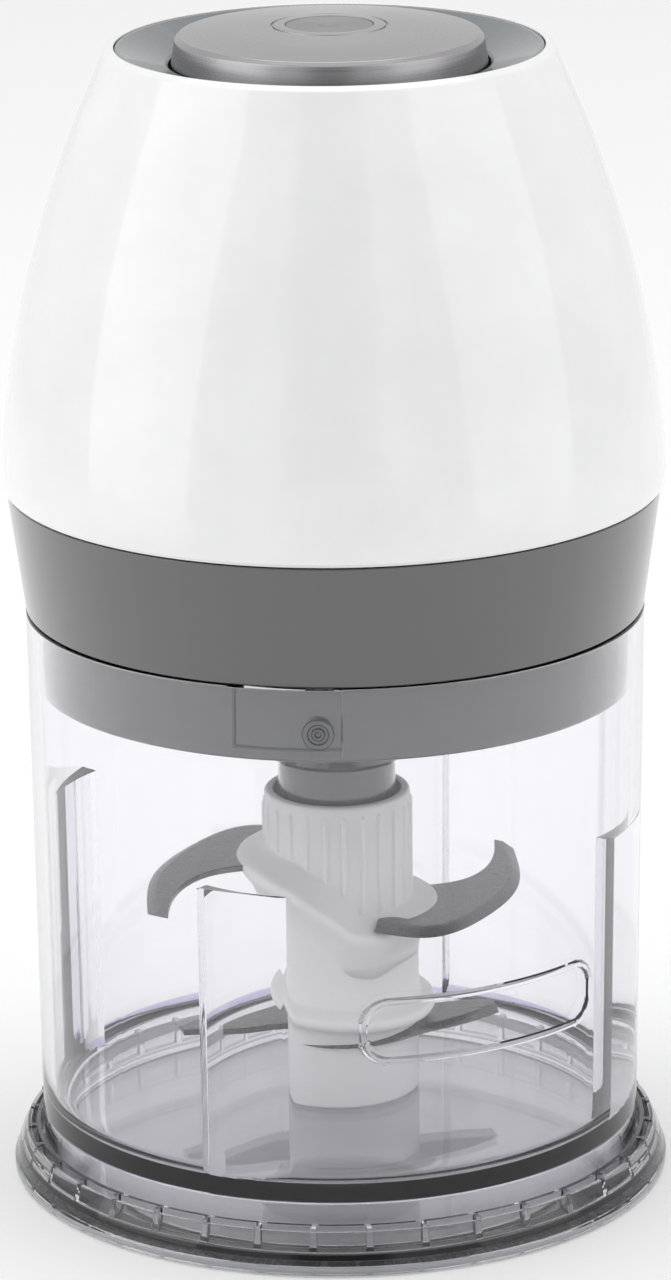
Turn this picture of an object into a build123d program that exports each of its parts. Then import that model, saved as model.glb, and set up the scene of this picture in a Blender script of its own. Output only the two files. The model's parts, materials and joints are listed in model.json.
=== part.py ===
"""Top-motor food processor (mini chopper): clear base disc, clear bowl, blade unit and motor unit.

Millimetres, +Z up, origin at the centre of the base's underside, front towards -Y.
Azimuths are degrees from the front, growing towards +X (counter-clockwise from above).
"""

import os
from math import acos, cos, pi, radians, sin, tan

from build123d import *

os.makedirs("parts", exist_ok=True)

# ---- driving dimensions -------------------------------------------------------------------------
BASE_R = 75.5  # base disc, widest
BASE_FLOOR_TOP = 3.0
BASE_RING_R = 69.3  # inner face of the ring that locates the bowl
BASE_RING_TOP = 10.4
BASE_RIBS = 36

BOWL_FOOT_R = 68.5
BOWL_RIM_R = 69.9
BOWL_RIM_Z = 134.0
BOWL_WALL = 2.8
BOWL_FLOOR_UNDER = 14.35
BOWL_FLOOR_TOP = 17.9
VANE_TOP = 86.0
VANE_STEP = 3.9  # how far a vane's step stands in from the wall
VANE_SWEEP = 19.0  # degrees over which a vane fades into the wall
VANE_AZIMUTHS = (-27.0, 65.0, 156.0, 245.0)

PIN_R = 3.0  # centre pin that the blade unit turns on
RUNNING_GAP = 0.06

LOCKS = 3  # bayonet lugs
LUG_AZ = -3.3
LUG_Z = 123.6
LUG_R = 3.5
LUG_TIP_R = 68.2
TRACK_DEPTH_R = 68.7
TRACK_AZ = -20.0  # middle of a bayonet track's sketch plane

COLLAR_BOTTOM_Z = 134.4
COLLAR_TOP_Z = 162.2
COLLAR_BOTTOM_R = 69.8
COLLAR_TOP_R = 73.6
PLUG_R = 66.3  # lower cover's skirt, inside the bowl
PLUG_FLOOR_Z = 116.8
BOSS_R = 17.7
NECK_R = 13.4
NECK_Z = 88.0

SHELL_LIP_Z = 162.4
SHELL_WALL = 2.7
MOUTH_R = 47.6  # top opening of the shell
MOUTH_Z = 261.7
LEDGE_Z = 256.8
SLEEVE_R = 35.6  # bore that guides the button
SLEEVE_BOTTOM = 245.0
BUTTON_R = 35.0
BUTTON_CROWN_Z = 266.0

HUB_TOP_Z = 90.0
HUB_R = 16.6
HUB_TUBE_R = 18.4
HUB_BOTTOM_Z = 18.4
HUB_RIBS = 24
BLADE_T = 1.4
UPPER_LEFT_Z = 73.2  # middle heights of the blade wings
UPPER_RIGHT_Z = 62.5
LOWER_WING_Z = 34.0

MODULE = 0.8
SUN_TEETH = 12
PLANET_TEETH = 24
RING_TEETH = 60
PRESSURE = radians(20)
BACKLASH = 0.16
ADDENDUM = 0.8 * MODULE
DEDENDUM = 1.1 * MODULE
SUN_PITCH_R = SUN_TEETH * MODULE / 2
PLANET_PITCH_R = PLANET_TEETH * MODULE / 2
RING_PITCH_R = RING_TEETH * MODULE / 2
ORBIT_R = SUN_PITCH_R + PLANET_PITCH_R
PLANETS = 3

SHAFT_R = 2.5
OUTPUT_R = 5.0
STACK_LOW = 152.0  # laminated stack of the motor
STACK_HIGH = 184.0
ROTOR_R = 17.5

INTERLOCK_R = 68.0  # radius at which the interlock pin stands, at the back
INTERLOCK_PIN_R = 1.0
GLAND_Z = 185.0
GLAND_BORE_R = 3.6


# ---- helpers ------------------------------------------------------------------------------------
def polar(radius, azimuth):
    """Plan position of a point at a radius and an azimuth."""
    return (radius * sin(radians(azimuth)), -radius * cos(radians(azimuth)))


def wall_plane(azimuth, radius):
    """Sketch plane that faces outwards at an azimuth: local x runs counter-clockwise, local y up."""
    angle = radians(azimuth)
    out = (sin(angle), -cos(angle), 0)
    return Plane(
        origin=(out[0] * radius, out[1] * radius, 0), x_dir=(cos(angle), sin(angle), 0), z_dir=out
    )


def outline(points):
    """Closed straight-sided face from a list of points, inside a sketch."""
    Polygon(*points, align=None)


def turned(points):
    """Solid of revolution about Z from (radius, height) points, inside a part."""
    with BuildSketch(Plane.XZ) as profile:
        outline(points)
    revolve(profile.sketch, axis=Axis.Z)


def tube(outer, inner, low, high):
    """Upright ring from low to high, inside a part."""
    with BuildSketch(Plane.XY.offset(low)) as section:
        Circle(outer)
        Circle(inner, mode=Mode.SUBTRACT)
    extrude(section.sketch, amount=high - low)


def disc(radius, low, high, mode=Mode.ADD):
    """Upright solid cylinder from low to high, inside a part."""
    with BuildSketch(Plane.XY.offset(low)) as section:
        Circle(radius)
    extrude(section.sketch, amount=high - low, mode=mode)


def block(x0, x1, y0, y1, z0, z1, mode=Mode.ADD):
    """Box between two corners, inside a part."""
    with Locations(((x0 + x1) / 2, (y0 + y1) / 2, (z0 + z1) / 2)):
        Box(x1 - x0, y1 - y0, z1 - z0, mode=mode)


def save(piece, label):
    """Label a finished piece and write its file."""
    piece.part.label = label
    export_step(piece.part, f"parts/{label}.step")


def bowl_outer(z):
    """Outer radius of the drafted bowl wall."""
    return BOWL_FOOT_R + (BOWL_RIM_R - BOWL_FOOT_R) * (z - BASE_FLOOR_TOP) / (BOWL_RIM_Z - BASE_FLOOR_TOP)


def collar_outer(z):
    """Outer radius of the conical collar."""
    share = (z - COLLAR_BOTTOM_Z) / (COLLAR_TOP_Z - COLLAR_BOTTOM_Z)
    return COLLAR_BOTTOM_R + (COLLAR_TOP_R - COLLAR_BOTTOM_R) * share


def involute(angle):
    """Involute of a pressure angle."""
    return tan(angle) - angle


def gear_points(teeth, low_r, high_r, slack, phase=0.0):
    """Outline of involute teeth centred on phase; slack thickens (+) or thins (-) each tooth."""
    pitch_r = teeth * MODULE / 2
    base_r = pitch_r * cos(PRESSURE)
    half_pitch = (pi * MODULE / 2 + slack) / (2 * pitch_r)

    def half_angle(radius):
        at = acos(min(1.0, base_r / radius))
        return half_pitch + involute(PRESSURE) - involute(at)

    radii = (low_r, max(low_r, base_r) + 0.01, (pitch_r + high_r) / 2 - 0.2 * MODULE, high_r)
    points = []
    for tooth in range(teeth):
        middle = phase + 2 * pi * tooth / teeth
        flank = [(r, half_angle(r)) for r in radii]
        for radius, half in flank:
            points.append((radius * cos(middle - half), radius * sin(middle - half)))
        for radius, half in reversed(flank):
            points.append((radius * cos(middle + half), radius * sin(middle + half)))
    return points


# ---- base ---------------------------------------------------------------------------------------
def base_disc():
    """Clear base disc that doubles as the bowl's lid, with a ribbed gutter round the bowl."""
    skirt_top_r = 71.9
    with BuildPart() as base:
        with BuildSketch(Plane.XZ):
            with BuildLine():
                Polyline((BASE_R, 0.4), (BASE_R, 2.3), (74.9, 2.9))
                ThreePointArc((74.9, 2.9), (73.9, 6.7), (skirt_top_r + 0.5, 9.6))
                Polyline(
                    (skirt_top_r + 0.5, 9.6),
                    (skirt_top_r - 0.3, 9.6),
                    (skirt_top_r - 0.3, 4.6),
                    (BASE_RING_R + 1.1, 4.6),
                    (BASE_RING_R + 1.1, BASE_RING_TOP),
                    (BASE_RING_R, BASE_RING_TOP),
                    (BASE_RING_R, BASE_FLOOR_TOP),
                    (0, BASE_FLOOR_TOP),
                    (0, 0.4),
                    (BASE_R, 0.4),
                )
            make_face()
        revolve(axis=Axis.Z)
        with BuildSketch(Plane.XY.offset(0.4)):
            Circle(73.3)
            Circle(67.7, mode=Mode.SUBTRACT)
        extrude(amount=1.2, mode=Mode.SUBTRACT)
        rib_length = skirt_top_r - BASE_RING_R - 0.6
        with BuildSketch(Plane.XY.offset(4.6)):
            with PolarLocations(BASE_RING_R + 0.5 + rib_length / 2, BASE_RIBS, start_angle=1.8):
                Rectangle(rib_length + 0.6, 1.3)
        extrude(amount=BASE_RING_TOP - 4.6)
    save(base, "base_disc")


def nonslip_ring():
    """Soft ring under the base disc."""
    with BuildPart() as ring:
        turned([(67.8, 0), (73.2, 0), (73.2, 1.6), (67.8, 1.6)])
    save(ring, "nonslip_ring")


# ---- bowl ---------------------------------------------------------------------------------------
def lock_track():
    """Cutter for one bayonet track: a level slot that climbs to a wide mouth at the rim."""
    level_low = LUG_Z - LUG_R - 0.3
    level_high = LUG_Z + LUG_R + 0.3

    def along(azimuth):
        return TRACK_DEPTH_R * sin(radians(azimuth - TRACK_AZ))

    with BuildPart() as track:
        with BuildSketch(wall_plane(TRACK_AZ, 55)):
            with BuildLine():
                Polyline(
                    (along(LUG_AZ), level_low),
                    (along(-13.4), level_low),
                    (along(-42.0), BOWL_RIM_Z + 1),
                    (along(-19.0), BOWL_RIM_Z + 1),
                    (along(-18.0), 131.4),
                    (along(-10.1), level_high),
                    (along(LUG_AZ), level_high),
                )
                ThreePointArc(
                    (along(LUG_AZ), level_high),
                    (along(LUG_AZ) + LUG_R + 0.3, LUG_Z),
                    (along(LUG_AZ), level_low),
                )
            make_face()
        extrude(amount=20)
        with BuildSketch(Plane.XY.offset(110)):
            Circle(TRACK_DEPTH_R)
            Circle(60, mode=Mode.SUBTRACT)
        extrude(amount=30, mode=Mode.INTERSECT)
    return track.part


def badge_frame():
    """Raised blank frame on the front right of the bowl."""
    with BuildPart() as frame:
        with BuildSketch(wall_plane(29, 50)):
            with Locations((0, 55.2)):
                RectangleRounded(58.5, 15.2, 6)
                RectangleRounded(55.7, 12.4, 4.6, mode=Mode.SUBTRACT)
        extrude(amount=30)
        with BuildSketch(Plane.XY.offset(40)):
            Circle(bowl_outer(55) + 0.5)
            Circle(bowl_outer(55) - 0.6, mode=Mode.SUBTRACT)
        extrude(amount=30, mode=Mode.INTERSECT)
    return frame.part


def interlock_notch():
    """Cutter for the ramp in the rim that lets the interlock pin drop as the motor unit unlocks."""
    fall = 0.25  # height lost per degree
    start, stop = 181.5, 170.5
    middle = (start + stop) / 2

    def along(azimuth):
        return INTERLOCK_R * sin(radians(azimuth - middle))

    with BuildPart() as notch:
        with BuildSketch(wall_plane(middle, 60)):
            outline(
                [
                    (along(start), BOWL_RIM_Z),
                    (along(start), BOWL_RIM_Z + 1),
                    (along(stop), BOWL_RIM_Z + 1),
                    (along(stop), BOWL_RIM_Z - fall * (start - stop)),
                ]
            )
        extrude(amount=14)
    return notch.part


def bowl():
    """Clear bowl: drafted wall, floor with a pin boss, four step vanes, three bayonet tracks."""
    foot_inner = BOWL_FOOT_R - 3.0
    floor_inner = bowl_outer(BOWL_FLOOR_TOP) - BOWL_WALL
    corner = 4.0
    track = lock_track()
    frame = badge_frame()
    notch = interlock_notch()
    with BuildPart() as vessel:
        with BuildSketch(Plane.XZ):
            with BuildLine():
                Polyline(
                    (floor_inner + 0.04, BOWL_FLOOR_TOP + corner),
                    (BOWL_RIM_R - BOWL_WALL, BOWL_RIM_Z - 0.5),
                    (BOWL_RIM_R - BOWL_WALL + 0.5, BOWL_RIM_Z),
                    (BOWL_RIM_R - 0.5, BOWL_RIM_Z),
                    (BOWL_RIM_R, BOWL_RIM_Z - 0.5),
                    (BOWL_FOOT_R, BASE_FLOOR_TOP),
                    (foot_inner, BASE_FLOOR_TOP),
                    (foot_inner, BOWL_FLOOR_UNDER),
                    (0, BOWL_FLOOR_UNDER),
                    (0, BOWL_FLOOR_TOP + 6.1),
                    (5.6, BOWL_FLOOR_TOP + 6.1),
                    (6.0, BOWL_FLOOR_TOP + 5.7),
                    (6.0, BOWL_FLOOR_TOP),
                    (floor_inner - corner, BOWL_FLOOR_TOP),
                )
                RadiusArc(
                    (floor_inner - corner, BOWL_FLOOR_TOP),
                    (floor_inner + 0.04, BOWL_FLOOR_TOP + corner),
                    -corner - 0.02,
                )
            make_face()
        revolve(axis=Axis.Z)
        with BuildSketch(Plane.XY.offset(BOWL_FLOOR_TOP - 0.5)):
            for azimuth in VANE_AZIMUTHS:
                far = azimuth + VANE_SWEEP
                with BuildLine():
                    Line(polar(67.2, azimuth), polar(66.1 - VANE_STEP, azimuth))
                    ThreePointArc(
                        polar(66.1 - VANE_STEP, azimuth),
                        polar(66.1 - 0.45 * VANE_STEP, azimuth + 0.45 * VANE_SWEEP),
                        polar(66.0, far),
                    )
                    Line(polar(66.0, far), polar(67.2, far))
                    ThreePointArc(
                        polar(67.2, far), polar(67.2, azimuth + VANE_SWEEP / 2), polar(67.2, azimuth)
                    )
                make_face()
        extrude(amount=VANE_TOP - BOWL_FLOOR_TOP + 0.5)
        for lock in range(LOCKS):
            turn = 360 / LOCKS * lock
            with BuildSketch(Plane.XY.offset(119.2)):
                with BuildLine():
                    panel = [polar(69.2, a + turn) for a in (-19.6, -9.5, 0.9)]
                    face = [polar(BOWL_RIM_R + 0.7, a + turn) for a in (-19.6, -9.5, 0.9)]
                    Line(panel[0], face[0])
                    ThreePointArc(*face)
                    Line(face[2], panel[2])
                    ThreePointArc(*panel)
                make_face()
            extrude(amount=BOWL_RIM_Z - 119.2)
        add(frame)
        with PolarLocations(0, LOCKS):
            add(track, mode=Mode.SUBTRACT)
        add(notch, mode=Mode.SUBTRACT)
        disc(PIN_R, BOWL_FLOOR_UNDER + 1.2, BOWL_FLOOR_TOP + 8, mode=Mode.SUBTRACT)
    save(vessel, "bowl")


def bowl_pin():
    """Steel centre pin pressed into the bowl's boss."""
    with BuildPart() as pin:
        low = BOWL_FLOOR_UNDER + 1.2
        turned([(0, low), (PIN_R, low), (PIN_R, 69), (PIN_R - 1, 70), (0, 70)])
    save(pin, "bowl_pin")


def thrust_washer():
    """Slip washer between the bowl's boss and the blade unit."""
    with BuildPart() as washer:
        tube(5.8, PIN_R + RUNNING_GAP, BOWL_FLOOR_TOP + 6.1, BOWL_FLOOR_TOP + 6.6)
    save(washer, "thrust_washer")


# ---- blade unit ---------------------------------------------------------------------------------
def half_turn(points):
    """The same plan points turned half a turn about the axis."""
    return [(-x, -y) for x, y in points]


def wing_sketch(cutting, back):
    """Sickle outline of one wing: a curved cutting edge out and a curved back edge home."""
    with BuildLine() as edge:
        Spline(*cutting)
        Line(cutting[-1], back[0])
        Spline(*back)
        Line(back[-1], cutting[0])
    make_face(edge.edges())


UPPER_CUTTING = [(8.0, -20.8), (19.8, -25.0), (33.2, -11.8), (41.9, 10.5), (42.0, 37.3)]
UPPER_BACK = [(37.4, 40.4), (36.4, 27.0), (28.5, 11.5), (14.0, 7.0)]
LOWER_CUTTING = [(-9.3, -15.9), (-3.0, -19.1), (5.0, -18.9), (13.0, -15.2), (20.0, -9.5), (28.0, -4.5), (37.0, 3.5)]
LOWER_BACK = [(35.5, 9.5), (27.5, 8.5), (20.0, 6.5), (10.0, 7.0)]


def upper_blade():
    """S-shaped blade with a high left wing and a low right wing, joined by a sloping bridge."""
    with BuildPart() as blade:
        with BuildSketch(Plane.XY.offset(UPPER_RIGHT_Z - BLADE_T / 2)):
            wing_sketch(UPPER_CUTTING, UPPER_BACK)
        extrude(amount=BLADE_T)
        with BuildSketch(Plane.XY.offset(UPPER_LEFT_Z - BLADE_T / 2)):
            wing_sketch(half_turn(UPPER_CUTTING), half_turn(UPPER_BACK))
        extrude(amount=BLADE_T)
        with BuildSketch(Plane.XZ.offset(-6)):
            outline(
                [
                    (-14.0, UPPER_LEFT_Z - BLADE_T / 2),
                    (-8.5, UPPER_LEFT_Z - BLADE_T / 2),
                    (8.5, UPPER_RIGHT_Z - BLADE_T / 2),
                    (14.0, UPPER_RIGHT_Z - BLADE_T / 2),
                    (14.0, UPPER_RIGHT_Z + BLADE_T / 2),
                    (8.5, UPPER_RIGHT_Z + BLADE_T / 2),
                    (-8.5, UPPER_LEFT_Z + BLADE_T / 2),
                    (-14.0, UPPER_LEFT_Z + BLADE_T / 2),
                ]
            )
        extrude(amount=12)
        disc(4.2, 55, 80, mode=Mode.SUBTRACT)
    save(blade, "upper_blade")
    return blade.part


def lower_blade():
    """Flat S-shaped blade low in the bowl."""
    with BuildPart() as blade:
        with BuildSketch(Plane.XY.offset(LOWER_WING_Z - BLADE_T / 2)):
            wing_sketch(LOWER_CUTTING, LOWER_BACK)
            wing_sketch(half_turn(LOWER_CUTTING), half_turn(LOWER_BACK))
            Rectangle(26, 12)
            Circle(4.2, mode=Mode.SUBTRACT)
        extrude(amount=BLADE_T)
    save(blade, "lower_blade")
    return blade.part


def flange(middle_z, radius, tilt, lean, thickness):
    """Collar disc of the hub, tilted so that it climbs towards one side."""
    with BuildPart() as ring:
        plane = Plane(origin=(0, 0, middle_z), z_dir=(sin(tilt) * cos(lean), sin(tilt) * sin(lean), cos(tilt)))
        with BuildSketch(plane.offset(-thickness / 2)):
            Circle(radius)
        extrude(amount=thickness)
        fillet(ring.edges(), thickness * 0.42)
    return ring.part


def blade_hub(upper, lower):
    """Moulded hub: ribbed grip, tilted blade collars, tube to the floor, hex socket on top."""
    high_collar = flange(68.0, 23.2, radians(13.4), radians(-12), 4.6)
    low_collar = flange(40.2, 22.2, radians(4.5), radians(-20), 3.8)
    with BuildPart() as hub:
        with BuildSketch(Plane.XZ):
            with BuildLine():
                Polyline(
                    (HUB_R - 0.9, HUB_TOP_Z),
                    (14.6, HUB_TOP_Z),
                    (14.4, 80.0),
                    (0, 80.0),
                    (0, HUB_BOTTOM_Z),
                    (HUB_TUBE_R, HUB_BOTTOM_Z),
                    (HUB_TUBE_R, 57.0),
                    (HUB_R, 61.0),
                    (HUB_R, HUB_TOP_Z - 0.9),
                )
                ThreePointArc(
                    (HUB_R, HUB_TOP_Z - 0.9), (HUB_R - 0.27, HUB_TOP_Z - 0.27), (HUB_R - 0.9, HUB_TOP_Z)
                )
            make_face()
        revolve(axis=Axis.Z)
        with BuildSketch(Plane.XY.offset(60)):
            with PolarLocations(HUB_R - 0.1, HUB_RIBS, start_angle=5):
                Rectangle(1.2, 0.9)
        extrude(amount=27.3)
        add(high_collar)
        add(low_collar)
        with BuildSketch(Plane.XY.offset(73)):
            RegularPolygon(6.35, 6, major_radius=False)
        extrude(amount=8, mode=Mode.SUBTRACT)
        disc(PIN_R + RUNNING_GAP, HUB_BOTTOM_Z, 71, mode=Mode.SUBTRACT)
        disc(16.2, HUB_BOTTOM_Z, 24.5, mode=Mode.SUBTRACT)
        with BuildSketch(Plane.XY.offset(24.5)):
            Circle(16.2)
            Circle(6.2, mode=Mode.SUBTRACT)
        extrude(amount=5.5, mode=Mode.SUBTRACT)
        add(upper, mode=Mode.SUBTRACT)
        add(lower, mode=Mode.SUBTRACT)
    save(hub, "blade_hub")


# ---- gearbox ------------------------------------------------------------------------------------
def lower_cover():
    """Grey cover that plugs the bowl: skirt, floor, gear well, neck and three bayonet lugs."""
    with BuildPart() as cover:
        turned(
            [
                (OUTPUT_R + 1.2, PLUG_FLOOR_Z + 2.4),
                (PLUG_R - 2.4, PLUG_FLOOR_Z + 2.4),
                (PLUG_R - 2.4, 140.0),
                (PLUG_R - 0.2, 140.0),
                (PLUG_R, 139.8),
                (PLUG_R, PLUG_FLOOR_Z + 0.8),
                (PLUG_R - 0.8, PLUG_FLOOR_Z),
                (BOSS_R, PLUG_FLOOR_Z),
                (BOSS_R, 102.0),
                (BOSS_R - 1.0, 99.4),
                (BOSS_R - 2.6, 98.0),
                (NECK_R, 98.0),
                (NECK_R, NECK_Z),
                (OUTPUT_R + 3.5, NECK_Z),
                (OUTPUT_R + 3.5, 104.0),
                (11.0, 104.0),
                (11.0, 112.0),
                (OUTPUT_R + 1.2, 112.0),
            ]
        )
        tube(31.0, 28.6, PLUG_FLOOR_Z + 2.4, 131.6)
        with BuildSketch(Plane.XY.offset(PLUG_FLOOR_Z + 2.4)):
            with PolarLocations(45, 3, start_angle=30):
                Circle(4)
        extrude(amount=20.8 - 2.4)
        with PolarLocations(45, 3, start_angle=30):
            with Locations((0, 0, PLUG_FLOOR_Z)):
                Cylinder(3.2, 2.0, align=(Align.CENTER, Align.CENTER, Align.MIN), mode=Mode.SUBTRACT)
                Cylinder(1.5, 16.0, align=(Align.CENTER, Align.CENTER, Align.MIN), mode=Mode.SUBTRACT)
        for lock in range(LOCKS):
            plane = wall_plane(LUG_AZ + 360 / LOCKS * lock, PLUG_R - 1.5)
            with BuildSketch(plane):
                with Locations((0, LUG_Z)):
                    Circle(LUG_R)
            extrude(amount=LUG_TIP_R - PLUG_R + 1.5)
            with BuildSketch(plane.offset(2.0)):
                with Locations((0, LUG_Z)):
                    Circle(2.2)
                    Circle(0.9, mode=Mode.SUBTRACT)
            extrude(amount=4, mode=Mode.SUBTRACT)
    save(cover, "lower_cover")


def cover_screws():
    """Three screws up through the lower cover's floor into its posts."""
    with BuildPart() as screws:
        for spot in PolarLocations(45, 3, start_angle=30).locations:
            x, y = spot.position.X, spot.position.Y
            with BuildSketch(Plane.XY.offset(PLUG_FLOOR_Z + 0.2)):
                with Locations((x, y)):
                    Circle(3.0)
            extrude(amount=1.8)
            with BuildSketch(Plane.XY.offset(PLUG_FLOOR_Z + 2.0)):
                with Locations((x, y)):
                    Circle(1.5)
            extrude(amount=14.0)
            with BuildSketch(Plane.XY.offset(PLUG_FLOOR_Z + 0.2)):
                with Locations((x, y)):
                    Rectangle(3.6, 0.8)
                    Rectangle(0.8, 3.6)
            extrude(amount=0.9, mode=Mode.SUBTRACT)
    save(screws, "cover_screws")


def output_bearing():
    """Plain bronze bush that carries the output shaft."""
    with BuildPart() as bush:
        tube(11.0, OUTPUT_R + RUNNING_GAP, 104.0, 112.0)
    save(bush, "output_bearing")


def ring_gear():
    """Fixed internal gear, with a tooth on the +X axis."""
    spaces = gear_points(
        RING_TEETH, RING_PITCH_R - ADDENDUM, RING_PITCH_R + DEDENDUM, BACKLASH, pi / RING_TEETH
    )
    with BuildPart() as ring:
        with BuildSketch(Plane.XY.offset(121.5)):
            Circle(28.5)
            Polygon(*spaces, align=None, mode=Mode.SUBTRACT)
        extrude(amount=10)
    save(ring, "ring_gear")


def sun_gear():
    """Pinion on the motor shaft."""
    with BuildPart() as sun:
        with BuildSketch(Plane.XY.offset(122.8)):
            outline(gear_points(SUN_TEETH, SUN_PITCH_R - DEDENDUM, SUN_PITCH_R + ADDENDUM, -BACKLASH))
            Circle(SHAFT_R, mode=Mode.SUBTRACT)
        extrude(amount=8.6)
    save(sun, "sun_gear")


def planet_gears():
    """Three planets, each with a tooth space facing the sun and another facing the ring."""
    for index in range(PLANETS):
        turn = 2 * pi * index / PLANETS
        x, y = ORBIT_R * cos(turn), ORBIT_R * sin(turn)
        points = gear_points(
            PLANET_TEETH,
            PLANET_PITCH_R - DEDENDUM,
            PLANET_PITCH_R + ADDENDUM,
            -BACKLASH,
            turn + pi / PLANET_TEETH,
        )
        with BuildPart() as planet:
            with BuildSketch(Plane.XY.offset(123.2)):
                outline([(x + px, y + py) for px, py in points])
                with Locations((x, y)):
                    Circle(2.0 + RUNNING_GAP, mode=Mode.SUBTRACT)
            extrude(amount=6.8)
        save(planet, f"planet_gear_{index + 1}")


def planet_carrier():
    """Carrier plate with the output shaft below it, and a hexagon at the shaft's foot."""
    with BuildPart() as carrier:
        turned(
            [
                (0, 119.7),
                (0, 122.4),
                (20.0, 122.4),
                (20.0, 119.7),
                (7.0, 119.7),
                (7.0, 119.5),
                (OUTPUT_R, 119.5),
                (OUTPUT_R, 78.0),
                (0, 78.0),
            ]
        )
        with BuildSketch(Plane.XY.offset(119.7)):
            with PolarLocations(ORBIT_R, PLANETS):
                Circle(2.0)
        extrude(amount=3, mode=Mode.SUBTRACT)
        with BuildSketch(Plane.XY.offset(78.0)):
            RegularPolygon(3.6, 6, major_radius=False)
        extrude(amount=-3)
    save(carrier, "planet_carrier")


def planet_pins():
    """Three steel pins that carry the planets."""
    with BuildPart() as pins:
        with BuildSketch(Plane.XY.offset(119.7)):
            with PolarLocations(ORBIT_R, PLANETS):
                Circle(2.0)
        extrude(amount=12.1)
    save(pins, "planet_pins")


def carrier_cap():
    """Retaining plate over the planets."""
    with BuildPart() as cap:
        with BuildSketch(Plane.XY.offset(130.3)):
            Circle(20.0)
            Circle(7.0, mode=Mode.SUBTRACT)
            with PolarLocations(ORBIT_R, PLANETS):
                Circle(2.0, mode=Mode.SUBTRACT)
        extrude(amount=1.5)
    save(cap, "carrier_cap")


def drive_coupling():
    """Hexagonal drive nose that fits the blade hub's socket."""
    with BuildPart() as nose:
        with BuildSketch(Plane.XY.offset(74.5)):
            RegularPolygon(6.0, 6, major_radius=False)
        extrude(amount=14)
        chamfer(nose.edges().group_by(Axis.Z)[0], 0.8)
        disc(8.0, 88.5, 93.0)
        disc(OUTPUT_R, 78.0, 93.0, mode=Mode.SUBTRACT)
        with BuildSketch(Plane.XY.offset(75.0)):
            RegularPolygon(3.6, 6, major_radius=False)
        extrude(amount=3.0, mode=Mode.SUBTRACT)
    save(nose, "drive_coupling")


def gearbox_cover():
    """Lid of the gear well."""
    with BuildPart() as lid:
        tube(31.0, SHAFT_R + 1.0, 132.2, 134.8)
    save(lid, "gearbox_cover")


def motor_mount():
    """Rubber ring that the motor stands on."""
    with BuildPart() as mount:
        turned([(23, 134.8), (29, 134.8), (28.2, 136.2), (29, 137.6), (23, 137.6), (23.8, 136.2)])
    save(mount, "motor_mount")


# ---- motor --------------------------------------------------------------------------------------
def lower_frame():
    """Lower motor bracket with its bearing cup and two posts."""
    with BuildPart() as frame:
        tube(31.0, SHAFT_R + 1.2, 137.6, 140.4)
        tube(10.6, 8.0, 140.4, 146.4)
        for side in (-1, 1):
            block(side * 24.5 - 3.8, side * 24.5 + 3.8, -8, 8, 140.4, STACK_LOW)
            with BuildSketch(Plane.XY.offset(137.6)):
                with Locations((side * 24.5, 0)):
                    Circle(1.8)
            extrude(amount=STACK_LOW - 137.6, mode=Mode.SUBTRACT)
    save(frame, "lower_frame")


def bearing(label, low, high):
    """Shaft bearing ring with a groove round its middle."""
    with BuildPart() as ring:
        middle = (low + high) / 2
        turned(
            [
                (SHAFT_R + RUNNING_GAP, low),
                (8.0, low),
                (8.0, high),
                (6.6, high),
                (6.2, high - 0.5),
                (4.6, high - 0.5),
                (4.2, high),
                (SHAFT_R + RUNNING_GAP, high),
                (SHAFT_R + RUNNING_GAP, middle),
            ]
        )
    save(ring, label)


def stator_core():
    """Laminated field frame with two poles."""
    with BuildPart() as core:
        with BuildSketch(Plane.XY.offset(STACK_LOW)):
            RectangleRounded(60, 58, 12)
            Circle(ROTOR_R + 0.7, mode=Mode.SUBTRACT)
            with GridLocations(28.8, 43.2, 2, 2):
                Rectangle(6.8, 5.6, mode=Mode.SUBTRACT)
            with Locations((-24.5, 0), (24.5, 0)):
                Circle(1.8, mode=Mode.SUBTRACT)
        extrude(amount=STACK_HIGH - STACK_LOW)
    save(core, "stator_core")


def field_coils():
    """Two copper field coils round the poles."""
    with BuildPart() as coils:
        for side in (-1, 1):
            with BuildSketch(Plane.XZ.offset(-side * 21.6 - 2.6)):
                with Locations((0, (STACK_LOW + STACK_HIGH) / 2)):
                    RectangleRounded(35.2, STACK_HIGH - STACK_LOW + 11, 3)
                    Rectangle(22.4, STACK_HIGH - STACK_LOW + 0.2, mode=Mode.SUBTRACT)
            extrude(amount=5.2)
    save(coils, "field_coils")


def upper_frame():
    """Upper motor bracket: posts, a bridge plate and a bearing cup."""
    with BuildPart() as frame:
        with BuildSketch(Plane.XY.offset(205)):
            RectangleRounded(58, 36, 6)
            Circle(SHAFT_R + 1.2, mode=Mode.SUBTRACT)
        extrude(amount=3)
        tube(10.6, 8.0, 208, 213)
        for side in (-1, 1):
            block(side * 24.5 - 3.8, side * 24.5 + 3.8, -6, 6, STACK_HIGH, 205)
            with BuildSketch(Plane.XY.offset(STACK_HIGH)):
                with Locations((side * 24.5, 0)):
                    Circle(1.8)
            extrude(amount=24, mode=Mode.SUBTRACT)
    save(frame, "upper_frame")


def motor_screws():
    """Two long screws that clamp the brackets to the stator."""
    with BuildPart() as screws:
        for side in (-1, 1):
            with BuildSketch(Plane.XY.offset(138.5)):
                with Locations((side * 24.5, 0)):
                    Circle(1.8)
            extrude(amount=69.5)
            with BuildSketch(Plane.XY.offset(208)):
                with Locations((side * 24.5, 0)):
                    RegularPolygon(3.4, 6)
            extrude(amount=2.4)
    save(screws, "motor_screws")


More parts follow.
